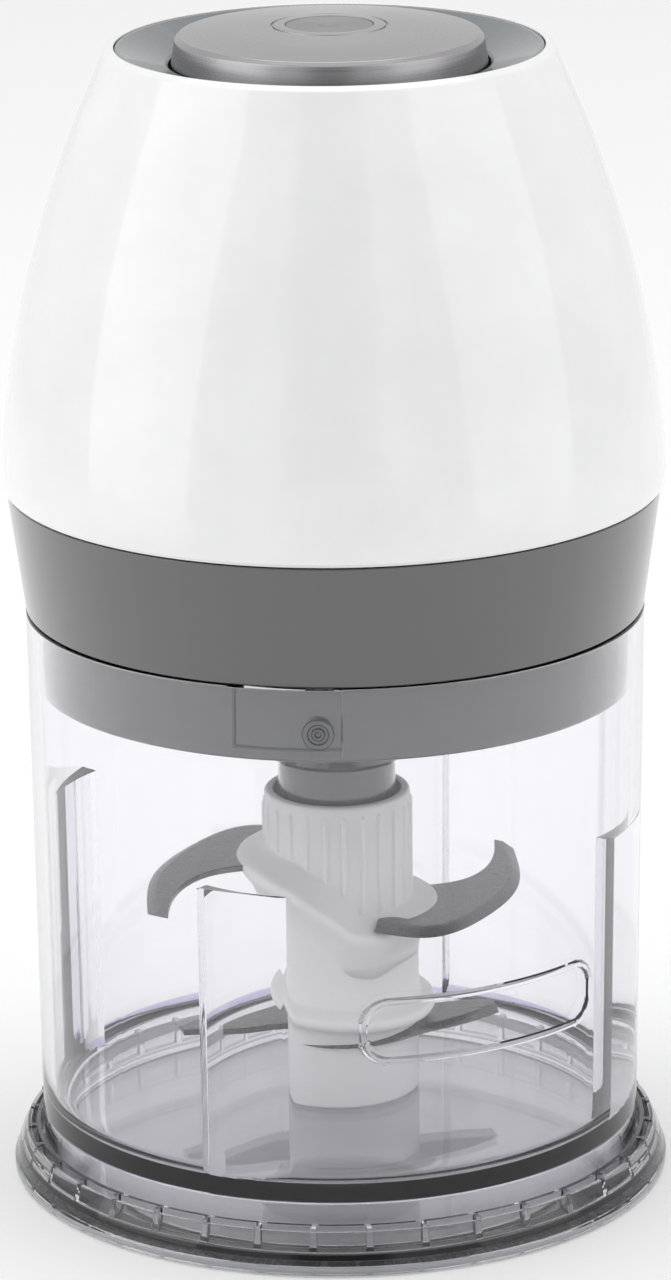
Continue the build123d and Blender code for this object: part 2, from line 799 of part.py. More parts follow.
def brush_gear():
    """Brass brush tubes, carbon brushes and the springs behind them."""
    low, high = 195.0, 202.0
    with BuildPart() as tubes:
        for side in (-1, 1):
            near, far = sorted((side * 13, side * 28))
            block(-3.5, 3.5, near, far, low, high)
            block(-2.6, 2.6, near, far, low + 0.9, high - 0.9, mode=Mode.SUBTRACT)
            near, far = sorted((side * 14, side * 17.5))
            block(-3.5, 3.5, near, far, high, 205)
    save(tubes, "brush_tubes")
    with BuildPart() as brushes:
        for side in (-1, 1):
            near, far = sorted((side * 10.7, side * 21.5))
            block(-2.5, 2.5, near, far, low + 1.0, high - 1.0)
    save(brushes, "carbon_brushes")
    with BuildPart() as springs:
        for side in (-1, 1):
            plane = Plane.XZ.offset(-side * 21.6)
            for turn in range(5):
                with BuildSketch(plane.offset(-side * 1.25 * turn)):
                    with Locations((0, (low + high) / 2)):
                        Circle(2.1)
                        Circle(1.5, mode=Mode.SUBTRACT)
                extrude(amount=-side * 0.6)
            with BuildSketch(plane):
                with Locations((0, (low + high) / 2)):
                    Circle(1.6)
                    Circle(1.2, mode=Mode.SUBTRACT)
            extrude(amount=-side * 6.2)
    save(springs, "brush_springs")


def motor_shaft():
    """Motor shaft from the pinion to the fan."""
    with BuildPart() as shaft:
        turned([(0, 122.8), (SHAFT_R, 122.8), (SHAFT_R, 226.4), (SHAFT_R - 0.6, 227), (0, 227)])
    save(shaft, "motor_shaft")


def rotor_core():
    """Slotted armature stack."""
    with BuildPart() as core:
        with BuildSketch(Plane.XY.offset(STACK_LOW)):
            Circle(ROTOR_R)
            Circle(SHAFT_R, mode=Mode.SUBTRACT)
            with PolarLocations(ROTOR_R - 2.6, 12):
                Rectangle(6.4, 1.8, mode=Mode.SUBTRACT)
        extrude(amount=STACK_HIGH - STACK_LOW)
    save(core, "rotor_core")


def rotor_windings():
    """Copper in the armature slots and the end turns above and below the stack."""
    with BuildPart() as copper:
        turned([(5, 147.2), (12.5, 147.2), (15.2, 149.5), (15.2, STACK_LOW), (5, STACK_LOW)])
        turned([(5, STACK_HIGH), (15.2, STACK_HIGH), (15.2, 186.5), (12.0, 190.0), (5, 190.0)])
        with BuildSketch(Plane.XY.offset(STACK_LOW)):
            with PolarLocations(ROTOR_R - 4.0, 12):
                Rectangle(3.2, 1.6)
        extrude(amount=STACK_HIGH - STACK_LOW)
    save(copper, "rotor_windings")


def commutator():
    """Commutator with its bars cut apart."""
    with BuildPart() as drum:
        tube(10.5, SHAFT_R, 191.0, 204.0)
        with BuildSketch(Plane.XY.offset(193.0)):
            with PolarLocations(10.3, 24):
                Rectangle(1.6, 0.35)
        extrude(amount=11.0, mode=Mode.SUBTRACT)
    save(drum, "commutator")


def fan():
    """Cooling fan with swept vanes."""
    vanes = 11
    with BuildPart() as wheel:
        tube(6.0, SHAFT_R, 215.5, 225.0)
        tube(25.0, SHAFT_R, 215.5, 217.0)
        with BuildSketch(Plane.XY.offset(217.0)):
            with PolarLocations(15.0, vanes):
                with Locations(Location((0, 0), 25)):
                    Rectangle(17.0, 1.1)
        extrude(amount=7.5)
    save(wheel, "fan")


# ---- housing ------------------------------------------------------------------------------------
def collar():
    """Grey collar between the bowl and the shell, with the interlock guide at the back."""
    wall = 2.6
    with BuildPart() as ring:
        with BuildSketch(Plane.XZ):
            with BuildLine():
                Line((COLLAR_BOTTOM_R, COLLAR_BOTTOM_Z + 0.4), (COLLAR_TOP_R, COLLAR_TOP_Z))
                Polyline(
                    (COLLAR_TOP_R, COLLAR_TOP_Z),
                    (COLLAR_TOP_R - 1.4, COLLAR_TOP_Z),
                    (COLLAR_TOP_R - 1.4, COLLAR_TOP_Z + 4.0),
                    (COLLAR_TOP_R - wall, COLLAR_TOP_Z + 4.0),
                    (COLLAR_TOP_R - wall, COLLAR_TOP_Z),
                    (collar_outer(137) - wall, 137.0),
                    (PLUG_R, 137.0),
                    (PLUG_R, COLLAR_BOTTOM_Z),
                    (COLLAR_BOTTOM_R - 0.4, COLLAR_BOTTOM_Z),
                    (COLLAR_BOTTOM_R, COLLAR_BOTTOM_Z + 0.4),
                )
            make_face()
        revolve(axis=Axis.Z)
        for side in (-1, 1):
            block(side * 6.0 - 1.0, side * 6.0 + 1.0, 60.0, collar_outer(151) - 1.6, 150.0, COLLAR_TOP_Z)
        guide = INTERLOCK_PIN_R + 0.15
        with Locations((0, INTERLOCK_R, 140)):
            Cylinder(guide, 16, mode=Mode.SUBTRACT)
        with Locations((0, INTERLOCK_R, 148)):
            Cylinder(2.0, 11, mode=Mode.SUBTRACT)
    save(ring, "collar")


def motor_shell():
    """Glossy outer shell: a tapering dome with a round mouth and a hole for the cord gland."""
    seat_r = COLLAR_TOP_R - 1.3
    with BuildPart() as shell:
        with BuildSketch(Plane.XZ):
            with BuildLine():
                Spline(
                    (74.75, 166.0),
                    (73.8, 178.0),
                    (69.15, 205.0),
                    (60.3, 235.0),
                    (50.6, 259.0),
                    tangents=[(0, 1), (-0.4, 1)],
                )
                ThreePointArc((50.6, 259.0), (49.75, 261.0), (48.0, MOUTH_Z))
                Polyline(
                    (48.0, MOUTH_Z),
                    (MOUTH_R, MOUTH_Z - 0.3),
                    (MOUTH_R, LEDGE_Z),
                    (43.8, LEDGE_Z),
                    (43.8, LEDGE_Z - 2.5),
                    (48.9, LEDGE_Z - 2.5),
                )
                Spline(
                    (48.9, LEDGE_Z - 2.5),
                    (57.7, 234.0),
                    (66.4, 204.6),
                    (71.1, 178.0),
                    (seat_r - 0.1, 168.5),
                )
                Polyline(
                    (seat_r - 0.1, 168.5),
                    (seat_r, 166.6),
                    (seat_r, SHELL_LIP_Z + 0.6),
                    (seat_r + 0.6, SHELL_LIP_Z),
                    (73.7, SHELL_LIP_Z),
                )
                ThreePointArc((73.7, SHELL_LIP_Z), (74.5, 163.2), (74.75, 166.0))
            make_face()
        revolve(axis=Axis.Z)
        with BuildSketch(Plane.XZ.offset(-60)):
            with Locations((0, GLAND_Z)):
                Circle(5.0)
        extrude(amount=-20, mode=Mode.SUBTRACT)
    save(shell, "motor_shell")


def cord_gland():
    """Rubber bush in the back of the shell that the supply cord would pass through."""
    with BuildPart() as bush:
        with BuildSketch(Plane.YZ):
            outline(
                [
                    (65.6, GLAND_Z + GLAND_BORE_R),
                    (76.8, GLAND_Z + GLAND_BORE_R),
                    (76.8, GLAND_Z + 6.2),
                    (76.0, GLAND_Z + 7.0),
                    (74.4, GLAND_Z + 7.0),
                    (74.4, GLAND_Z + 4.9),
                    (68.6, GLAND_Z + 4.9),
                    (68.6, GLAND_Z + 6.6),
                    (65.6, GLAND_Z + 6.6),
                ]
            )
        revolve(axis=Axis((0, 0, GLAND_Z), (0, 1, 0)))
    save(bush, "cord_gland")


def dish_ring():
    """Dark dished ring in the shell's mouth, with the sleeve that guides the button."""
    with BuildPart() as dish:
        turned(
            [
                (MOUTH_R - 0.2, LEDGE_Z),
                (MOUTH_R - 0.2, 260.8),
                (MOUTH_R - 0.9, 261.2),
                (SLEEVE_R + 0.5, 257.8),
                (SLEEVE_R, 257.3),
                (SLEEVE_R, SLEEVE_BOTTOM),
                (SLEEVE_R + 1.6, SLEEVE_BOTTOM),
                (SLEEVE_R + 1.6, 255.2),
                (43.4, LEDGE_Z - 1.0),
                (43.6, LEDGE_Z),
            ]
        )
    save(dish, "dish_ring")


def switch_plate():
    """Plate that hangs from the shell's ledge and carries the switch, spring and capacitor."""
    with BuildPart() as plate:
        with BuildSketch(Plane.XY.offset(230)):
            Circle(48.0)
            with PolarLocations(37, 3, start_angle=90):
                Circle(7, mode=Mode.SUBTRACT)
        extrude(amount=2.5)
        with BuildSketch(Plane.XY.offset(232.5)):
            with PolarLocations(45.2, 6):
                Circle(1.8)
        extrude(amount=LEDGE_Z - 2.5 - 232.5)
    save(plate, "switch_plate")


# ---- button and switch --------------------------------------------------------------------------
def button_cap():
    """Spun metal push button with a gently domed crown."""
    gauge = 1.3
    rim_z = 263.6
    with BuildPart() as cap:
        with BuildSketch(Plane.XZ):
            with BuildLine():
                Polyline((BUTTON_R - gauge, 249.0), (BUTTON_R, 249.0), (BUTTON_R, 257.6), (34.0, 262.6))
                ThreePointArc((34.0, 262.6), (33.6, rim_z), (32.7, 264.1))
                ThreePointArc((32.7, 264.1), (16.5, 265.5), (0, BUTTON_CROWN_Z))
                Line((0, BUTTON_CROWN_Z), (0, BUTTON_CROWN_Z - gauge))
                ThreePointArc(
                    (0, BUTTON_CROWN_Z - gauge), (16.5, 265.5 - gauge), (32.3, 264.1 - gauge)
                )
                Polyline((32.3, 264.1 - gauge), (BUTTON_R - gauge, 257.4), (BUTTON_R - gauge, 249.0))
            make_face()
        revolve(axis=Axis.Z)
        tube(13.0, 12.5, 265.0, 265.85)
        disc(9.8, 265.2, 267.5, mode=Mode.SUBTRACT)
    save(cap, "button_cap")


def button_badge():
    """Plain inlaid disc with a raised dot in the middle of the button."""
    with BuildPart() as badge:
        turned([(0, 265.2), (9.7, 265.2), (9.7, 265.7), (9.3, 265.9), (0, 265.95)])
    save(badge, "button_badge")


def button_carrier():
    """Plastic carrier under the cap: tube, web, stop flange and pusher."""
    with BuildPart() as carrier:
        tube(BUTTON_R - 1.45, 31.5, 242.4, 257.0)
        tube(SLEEVE_R + 1.4, 31.5, 242.4, 244.8)
        disc(32.0, 250.0, 252.0)
        disc(2.0, 246.5, 250.0)
        disc(4.0, 252.0, 264.4)
    save(carrier, "button_carrier")


def button_spring():
    """Return spring under the carrier, drawn as its coils' envelope."""
    coils = 5
    low, high = 232.5, 250.0
    step = (high - low) / coils
    with BuildPart() as spring:
        points = [(27.0, low)]
        for coil in range(coils):
            points.append((28.4, low + step * (coil + 0.5)))
            points.append((27.0, low + step * (coil + 1)))
        points.append((25.8, high))
        for coil in reversed(range(coils)):
            points.append((27.2, low + step * (coil + 0.5)))
            points.append((25.8, low + step * coil))
        turned(points)
    save(spring, "button_spring")


def main_switch():
    """Microswitch body on the plate, and the lever that the pusher moves."""
    hinge_x, hinge_z = 21.0, 241.8
    with BuildPart() as body:
        block(4, 23, -5, 5, 232.5, 240.6)
        for side in (-1, 1):
            near, far = sorted((side * 3.2, side * 4.8))
            block(18.6, 23, near, far, 240.6, 243.4)
        with BuildSketch(Plane.XZ.offset(-6)):
            with Locations((hinge_x, hinge_z)):
                Circle(0.8)
        extrude(amount=12, mode=Mode.SUBTRACT)
    save(body, "main_switch")
    rise = 0.162
    with BuildPart() as lever:
        with BuildSketch(Plane.XZ.offset(-2.6)):
            outline(
                [
                    (hinge_x, hinge_z),
                    (-2.0, hinge_z + rise * (hinge_x + 2)),
                    (-2.0, hinge_z + 0.5 + rise * (hinge_x + 2)),
                    (hinge_x, hinge_z + 0.5),
                ]
            )
        extrude(amount=5.2)
        with BuildSketch(Plane.XZ.offset(-4.7)):
            with Locations((hinge_x, hinge_z)):
                Circle(0.75)
        extrude(amount=9.4)
    save(lever, "switch_lever")


def capacitor():
    """Suppression capacitor on the switch plate."""
    with BuildPart() as block_cap:
        with BuildSketch(Plane.XY.offset(232.5)):
            with Locations((-13, 0)):
                RectangleRounded(9, 20, 1)
        extrude(amount=11)
    save(block_cap, "capacitor")


def interlock():
    """Interlock pin that rides on the bowl's rim, its spring and the switch above it."""
    foot = BOWL_RIM_Z + 0.1
    with BuildPart() as pin:
        with BuildSketch(Plane.XY.offset(foot)):
            with Locations((0, INTERLOCK_R)):
                Circle(INTERLOCK_PIN_R)
        extrude(amount=152.0 - foot)
        with BuildSketch(Plane.XY.offset(145.6)):
            with Locations((0, INTERLOCK_R)):
                Circle(1.7)
        extrude(amount=1.0)
    save(pin, "interlock_pin")
    with BuildPart() as spring:
        with BuildSketch(Plane.XY.offset(146.7)):
            with Locations((0, INTERLOCK_R)):
                Circle(1.7)
                Circle(1.1, mode=Mode.SUBTRACT)
        extrude(amount=5.4)
    save(spring, "interlock_spring")
    with BuildPart() as switch:
        block(-4.9, 4.9, 60.5, 69.0, 152.2, 161.5)
    save(switch, "interlock_switch")


base_disc()
nonslip_ring()
bowl()
bowl_pin()
thrust_washer()
blade_hub(upper_blade(), lower_blade())
lower_cover()
cover_screws()
output_bearing()
ring_gear()
sun_gear()
planet_gears()
planet_carrier()
planet_pins()
carrier_cap()
drive_coupling()
gearbox_cover()
motor_mount()
lower_frame()
bearing("lower_bearing", 140.4, 146.0)
stator_core()
field_coils()
upper_frame()
bearing("upper_bearing", 208.0, 213.0)
motor_screws()
brush_gear()
motor_shaft()
rotor_core()
rotor_windings()
commutator()
fan()
collar()
motor_shell()
cord_gland()
dish_ring()
switch_plate()
button_cap()
button_badge()
button_carrier()
button_spring()
main_switch()
capacitor()
interlock()
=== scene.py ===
"""Looks of the top-motor food processor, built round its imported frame.

The frame is in metres, +Z up, front towards -Y. Sizes in this file are in millimetres and are turned
into metres when a mesh is made. Azimuths are degrees from the front, growing towards +X.
"""

import json
import logging
from dataclasses import dataclass, field
from enum import Enum
from math import cos, degrees, pi, radians, sin, tan

import bmesh
import bpy
import numpy as np
from mathutils import Matrix, Vector


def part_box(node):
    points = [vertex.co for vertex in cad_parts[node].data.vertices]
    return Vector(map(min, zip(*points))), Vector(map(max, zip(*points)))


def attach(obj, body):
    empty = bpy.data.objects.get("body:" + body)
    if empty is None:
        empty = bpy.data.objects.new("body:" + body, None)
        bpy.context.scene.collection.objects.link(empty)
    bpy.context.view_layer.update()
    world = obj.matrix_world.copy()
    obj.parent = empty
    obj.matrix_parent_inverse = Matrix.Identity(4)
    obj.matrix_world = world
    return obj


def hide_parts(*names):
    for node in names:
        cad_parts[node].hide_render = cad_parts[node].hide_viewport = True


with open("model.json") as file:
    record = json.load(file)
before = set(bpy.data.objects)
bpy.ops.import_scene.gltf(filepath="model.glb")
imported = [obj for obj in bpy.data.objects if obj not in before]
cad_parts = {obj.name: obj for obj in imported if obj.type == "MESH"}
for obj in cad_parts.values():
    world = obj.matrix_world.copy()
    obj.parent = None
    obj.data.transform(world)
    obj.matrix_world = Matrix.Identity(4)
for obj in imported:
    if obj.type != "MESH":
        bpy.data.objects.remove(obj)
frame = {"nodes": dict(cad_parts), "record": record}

LOG = logging.getLogger("food_processor")
MM = 0.001
Row = tuple[float, float]
Colour = tuple[float, float, float]


# ---- shape helpers ------------------------------------------------------------------------------
def span(node: str) -> tuple[float, float, float]:
    """Heights and reach of a node of the frame.

    Args:
        node: name of the node.

    Returns:
        Lowest height, highest height and largest reach from the axis, in millimetres.
    """
    low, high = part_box(node)
    reach = max(abs(low.x), abs(high.x))
    return low.z / MM, high.z / MM, reach / MM


def step_up(value: np.ndarray, start: float, end: float) -> np.ndarray:
    """Smooth step from 0 at start to 1 at end; it falls instead when end is below start."""
    share = np.clip((value - start) / (end - start), 0, 1)
    return share * share * (3 - 2 * share)


def around(azimuth: np.ndarray, centre: float) -> np.ndarray:
    """Signed angle from a centre azimuth, in degrees between -180 and 180."""
    return (azimuth - centre + 180) % 360 - 180


def rounded(corners: list[tuple[float, ...]], steps: int = 5) -> list[Row]:
    """Profile whose corners are turned into arcs, with a support point beside each arc.

    Args:
        corners: (radius, height) or (radius, height, fillet) of each corner, in order, open ended.
        steps: spans per arc.

    Returns:
        The profile's points.
    """
    points: list[Row] = []
    for index, corner in enumerate(corners):
        here = np.array(corner[:2], float)
        fillet = corner[2] if len(corner) > 2 else 0.0
        if fillet <= 0 or index in (0, len(corners) - 1):
            points.append((float(here[0]), float(here[1])))
            continue
        before = np.array(corners[index - 1][:2], float) - here
        after = np.array(corners[index + 1][:2], float) - here
        reach = min(np.linalg.norm(before), np.linalg.norm(after))
        before /= np.linalg.norm(before)
        after /= np.linalg.norm(after)
        half = np.arccos(np.clip(before @ after, -1, 1)) / 2
        run = min(fillet / tan(half), 0.48 * reach)
        radius = run * tan(half)
        middle = (before + after) / np.linalg.norm(before + after) * radius / sin(half) + here
        start = here + before * run - middle
        turn = pi - 2 * half
        if start[0] * (here - middle)[1] - start[1] * (here - middle)[0] < 0:
            turn = -turn
        if reach > 2.6 * run:
            points.append(tuple(here + before * run * 1.25))
        for step in range(steps + 1):
            angle = turn * step / steps
            spun = (
                start[0] * cos(angle) - start[1] * sin(angle),
                start[0] * sin(angle) + start[1] * cos(angle),
            )
            points.append((float(spun[0] + middle[0]), float(spun[1] + middle[1])))
        if reach > 2.6 * run:
            points.append(tuple(here + after * run * 1.25))
    return points


def spline_through(points: list[Row], count: int) -> np.ndarray:
    """Natural cubic spline through points, sampled evenly along its chords.

    Args:
        points: points to pass through, in order.
        count: how many samples to return.

    Returns:
        Array of samples, one row each.
    """
    knots = np.array(points, float)
    along = np.concatenate([[0], np.cumsum(np.linalg.norm(np.diff(knots, axis=0), axis=1))])
    gap = np.diff(along)
    size = len(knots)
    system = np.eye(size)
    right = np.zeros_like(knots)
    for i in range(1, size - 1):
        system[i, i - 1 : i + 2] = gap[i - 1], 2 * (gap[i - 1] + gap[i]), gap[i]
        right[i] = 6 * ((knots[i + 1] - knots[i]) / gap[i] - (knots[i] - knots[i - 1]) / gap[i - 1])
    bend = np.linalg.solve(system, right)
    at = np.linspace(0, along[-1], count)
    i = np.clip(np.searchsorted(along, at, side="right") - 1, 0, size - 2)
    a = ((along[i + 1] - at) / gap[i])[:, None]
    b = 1 - a
    curve = a * knots[i] + b * knots[i + 1]
    return curve + ((a**3 - a) * bend[i] + (b**3 - b) * bend[i + 1]) * (gap[i] ** 2)[:, None] / 6


def turn_table(spacing: float, dense: list[tuple[float, float, float]] | None = None) -> np.ndarray:
    """Azimuths of a turned mesh's columns.

    Args:
        spacing: usual spacing in degrees.
        dense: (from, to, spacing) ranges that replace the usual columns.

    Returns:
        Sorted azimuths in degrees, from -180 up to but without 180.
    """
    usual = np.arange(-180, 180, spacing)
    extra = []
    for low, high, fine in dense or []:
        usual = usual[~((around(usual, low) > -fine / 2) & (around(usual, high) < fine / 2))]
        count = max(1, round((high - low) / fine))
        extra.append(np.linspace(low, high, count + 1))
    every = np.concatenate([usual, *extra])
    every = np.sort((every + 180) % 360 - 180)
    return every[np.concatenate([[True], np.diff(every) > 0.02])]


def skin(
    name: str, grid: np.ndarray, loop_rows: bool = False, caps: bool = False, sharp: float = 38
) -> bpy.types.Object:
    """Mesh object from a grid of points whose columns close on themselves.

    Args:
        name: object name.
        grid: points in millimetres, shaped (rows, columns, 3).
        loop_rows: whether the last row joins the first.
        caps: whether the first and last rows are closed with a face each.
        sharp: edges that turn by more than this many degrees stay sharp.

    Returns:
        The linked object.
    """
    rows, cols = grid.shape[:2]
    row = np.arange(rows if loop_rows else rows - 1)[:, None]
    col = np.arange(cols)[None, :]
    ahead, beside = (row + 1) % rows, (col + 1) % cols
    corners = [row * cols + col, row * cols + beside, ahead * cols + beside, ahead * cols + col]
    faces = np.stack([c.ravel() for c in corners], axis=1).tolist()
    if caps:
        faces.append(list(range(cols))[::-1])
        faces.append(list(range((rows - 1) * cols, rows * cols)))
    mesh = bpy.data.meshes.new(name)
    mesh.from_pydata((grid.reshape(-1, 3) * MM).tolist(), [], faces)
    return from_mesh(name, mesh, sharp)


def from_mesh(name: str, mesh: bpy.types.Mesh, sharp: float = 38) -> bpy.types.Object:
    """Clean a mesh, set its shading and link it as an object.

    Args:
        name: object name.
        mesh: mesh to use.
        sharp: edges that turn by more than this many degrees stay sharp.

    Returns:
        The linked object.
    """
    work = bmesh.new()
    work.from_mesh(mesh)
    bmesh.ops.remove_doubles(work, verts=work.verts, dist=4e-6)
    bmesh.ops.dissolve_degenerate(work, edges=work.edges, dist=1e-7)
    bmesh.ops.recalc_face_normals(work, faces=work.faces)
    work.to_mesh(mesh)
    work.free()
    mesh.shade_smooth()
    mesh.set_sharp_from_angle(angle=radians(sharp))
    made = bpy.data.objects.new(name, mesh)
    bpy.context.scene.collection.objects.link(made)
    return made


def ring_grid(radius: np.ndarray, height: np.ndarray, azimuth: np.ndarray) -> np.ndarray:
    """Points of a turned surface.

    Args:
        radius: radii, shaped (rows, columns) or (rows, 1).
        height: heights, shaped like the radii.
        azimuth: azimuth of each column in degrees.

    Returns:
        Array shaped (rows, columns, 3).
    """
    radius, height, angle = np.broadcast_arrays(radius, height, np.radians(azimuth)[None, :])
    return np.stack([radius * np.sin(angle), -radius * np.cos(angle), height], axis=2)


def lathe(name: str, profile: list[Row], columns: int = 288, sharp: float = 38) -> bpy.types.Object:
    """Turned body from a profile that is closed, or that starts and ends on the axis.

    Args:
        name: object name.
        profile: (radius, height) points.
        columns: how many columns round the axis.
        sharp: edges that turn by more than this many degrees stay sharp.

    Returns:
        The linked object.
    """
    points = np.array(profile, float)
    on_axis = points[0, 0] < 1e-6 and points[-1, 0] < 1e-6
    grid = ring_grid(points[:, :1], points[:, 1:], turn_table(360 / columns))
    return skin(name, grid, loop_rows=not on_axis, sharp=sharp)


def placed(made: bpy.types.Object, matrix: Matrix) -> bpy.types.Object:
    """Bake a placement into an object's mesh."""
    made.data.transform(matrix)
    return made


def joined(name: str, pieces: list[bpy.types.Object]) -> bpy.types.Object:
    """Join several objects into one new mesh object.

    Args:
        name: name of the result.
        pieces: objects to join; they are removed.

    Returns:
        The joined object.
    """
    work = bmesh.new()
    for piece in pieces:
        work.from_mesh(piece.data)
    mesh = bpy.data.meshes.new(name)
    work.to_mesh(mesh)
    work.free()
    for piece in pieces:
        bpy.data.objects.remove(piece)
    return from_mesh(name, mesh)


def rounded_box_distance(
    u: np.ndarray, v: np.ndarray, width: float, height: float, corner: float
) -> np.ndarray:
    """Signed distance to a rounded rectangle about the origin, negative inside."""
    across = np.abs(u) - width / 2 + corner
    up = np.abs(v) - height / 2 + corner
    outside = np.hypot(np.maximum(across, 0), np.maximum(up, 0))
    return outside + np.minimum(np.maximum(across, up), 0) - corner


def polygon_distance(u: np.ndarray, v: np.ndarray, points: list[Row]) -> np.ndarray:
    """Signed distance to a closed polygon, negative inside.

    Args:
        u: first coordinates of the samples.
        v: second coordinates of the samples.
        points: the polygon's corners.

    Returns:
        Distances shaped like the samples.
    """
    nearest = np.full(u.shape, 1e9)
    inside = np.zeros(u.shape, bool)
    for (ax, ay), (bx, by) in zip(points, points[1:] + points[:1]):
        dx, dy = bx - ax, by - ay
        share = np.clip(((u - ax) * dx + (v - ay) * dy) / (dx * dx + dy * dy), 0, 1)
        nearest = np.minimum(nearest, np.hypot(u - ax - share * dx, v - ay - share * dy))
        if dy:
            crosses = ((ay > v) != (by > v)) & (u < dx * (v - ay) / dy + ax)
            inside ^= crosses
    return np.where(inside, -nearest, nearest)


# ---- node helpers and shared effects --------------------------------------------------------------
class Graph:
    """Adds and links the nodes of one tree."""

    def __init__(self, tree: bpy.types.NodeTree) -> None:
        """Keep the tree."""
        self.tree = tree

    def add(self, kind: str, inputs: dict | None = None, **settings: object) -> bpy.types.Node:
        """Add a node, set it up and feed it.

        Args:
            kind: Blender's node type.
            inputs: socket name or index to a value, or to the output socket that feeds it.
            settings: properties of the node.

        Returns:
            The new node.
        """
        node = self.tree.nodes.new(kind)
        for key, value in settings.items():
            setattr(node, key, value)
        for key, value in (inputs or {}).items():
            if isinstance(value, bpy.types.NodeSocket):
                self.tree.links.new(value, node.inputs[key])
            else:
                node.inputs[key].default_value = value
        return node

    def blend(self, share: bpy.types.NodeSocket, first: object, second: object) -> bpy.types.NodeSocket:
        """Mix of two colours by a mask."""
        node = self.add("ShaderNodeMix", {0: share, 6: first, 7: second}, data_type="RGBA")
        return node.outputs[2]

    def stretch(
        self, value: bpy.types.NodeSocket, low: float, high: float, to_low: float, to_high: float
    ) -> bpy.types.NodeSocket:
        """Value mapped from one range to another and held inside it."""
        node = self.add("ShaderNodeMapRange", {0: value, 1: low, 2: high, 3: to_low, 4: to_high})
        return node.outputs[0]


def shared_group(name: str, inputs: dict[str, float], outputs: list[str]) -> tuple[
    bpy.types.NodeTree, Graph, bpy.types.Node, bpy.types.Node
]:
    """Start a shader node group with float sockets.

    Args:
        name: group name.
        inputs: input names and their defaults.
        outputs: output names.

    Returns:
        The tree, its graph helper, the input node and the output node.
    """
    tree = bpy.data.node_groups.new(name, "ShaderNodeTree")
    for key, value in inputs.items():
        socket = tree.interface.new_socket(key, in_out="INPUT", socket_type="NodeSocketFloat")
        socket.default_value = value
    for key in outputs:
        tree.interface.new_socket(key, in_out="OUTPUT", socket_type="NodeSocketFloat")
    graph = Graph(tree)
    return tree, graph, graph.add("NodeGroupInput"), graph.add("NodeGroupOutput")


def grain_group() -> bpy.types.NodeTree:
    """Fine moulded grain and the slow mottle under it, both from 0 to 1."""
    tree, graph, fed, out = shared_group("moulded grain", {"Grains per metre": 3000.0}, ["Grain", "Mottle"])
    where = graph.add("ShaderNodeTexCoord").outputs["Object"]
    fine = graph.add("ShaderNodeTexNoise", {"Vector": where, "Scale": fed.outputs[0], "Detail": 3.0})
    slow = graph.add("ShaderNodeTexNoise", {"Vector": where, "Scale": 38.0, "Detail": 4.0, "Roughness": 0.6})
    graph.tree.links.new(fine.outputs[0], out.inputs[0])
    graph.tree.links.new(slow.outputs[0], out.inputs[1])
    return tree


def wear_group() -> bpy.types.NodeTree:
    """Mask of the raised edges that rubbing reaches first."""
    tree, graph, fed, out = shared_group("edge wear", {"Amount": 0.5}, ["Worn"])
    edge = graph.stretch(graph.add("ShaderNodeNewGeometry").outputs["Pointiness"], 0.52, 0.6, 0.0, 1.0)
    where = graph.add("ShaderNodeTexCoord").outputs["Object"]
    patch = graph.add("ShaderNodeTexNoise", {"Vector": where, "Scale": 420.0, "Detail": 5.0})
    broken = graph.stretch(patch.outputs[0], 0.42, 0.62, 0.25, 1.0)
    both = graph.add("ShaderNodeMath", {0: edge, 1: broken}, operation="MULTIPLY")
    done = graph.add("ShaderNodeMath", {0: both.outputs[0], 1: fed.outputs[0]}, operation="MULTIPLY")
    graph.tree.links.new(done.outputs[0], out.inputs[0])
    return tree


def dust_group() -> bpy.types.NodeTree:
    """Mask of the fine dust that settles on faces that look up."""
    tree, graph, fed, out = shared_group("settled dust", {"Amount": 0.3}, ["Dust"])
    normal = graph.add("ShaderNodeNewGeometry").outputs["Normal"]
    up = graph.add("ShaderNodeSeparateXYZ", {0: normal}).outputs[2]
    facing = graph.stretch(up, 0.35, 1.0, 0.0, 1.0)
    where = graph.add("ShaderNodeTexCoord").outputs["Object"]
    specks = graph.add("ShaderNodeTexNoise", {"Vector": where, "Scale": 1900.0, "Detail": 2.0})
    film = graph.stretch(specks.outputs[0], 0.5, 0.75, 0.1, 1.0)
    both = graph.add("ShaderNodeMath", {0: facing, 1: film}, operation="MULTIPLY")
    done = graph.add("ShaderNodeMath", {0: both.outputs[0], 1: fed.outputs[0]}, operation="MULTIPLY")
    graph.tree.links.new(done.outputs[0], out.inputs[0])
    return tree


def ripple_group() -> bpy.types.NodeTree:
    """Slow waves of a moulded clear wall and its hair-fine scratches."""
    tree, graph, fed, out = shared_group("moulding ripple", {"Scratches": 0.2}, ["Height", "Scratch"])
    where = graph.add("ShaderNodeTexCoord").outputs["Object"]
    tall = graph.add("ShaderNodeMapping", {"Vector": where, "Scale": (1.0, 1.0, 0.35)})
    slow = graph.add("ShaderNodeTexNoise", {"Vector": tall.outputs[0], "Scale": 42.0, "Detail": 1.0})
    level = graph.add(
        "ShaderNodeMapping", {"Vector": where, "Scale": (30.0, 30.0, 900.0), "Rotation": (0.2, 0.3, 0.0)}
    )
    lines = graph.add("ShaderNodeTexNoise", {"Vector": level.outputs[0], "Scale": 1.0, "Detail": 2.0})
    thin = graph.stretch(lines.outputs[0], 0.7, 0.76, 0.0, 1.0)
    done = graph.add("ShaderNodeMath", {0: thin, 1: fed.outputs[0]}, operation="MULTIPLY")
    graph.tree.links.new(slow.outputs[0], out.inputs[0])
    graph.tree.links.new(done.outputs[0], out.inputs[1])
    return tree


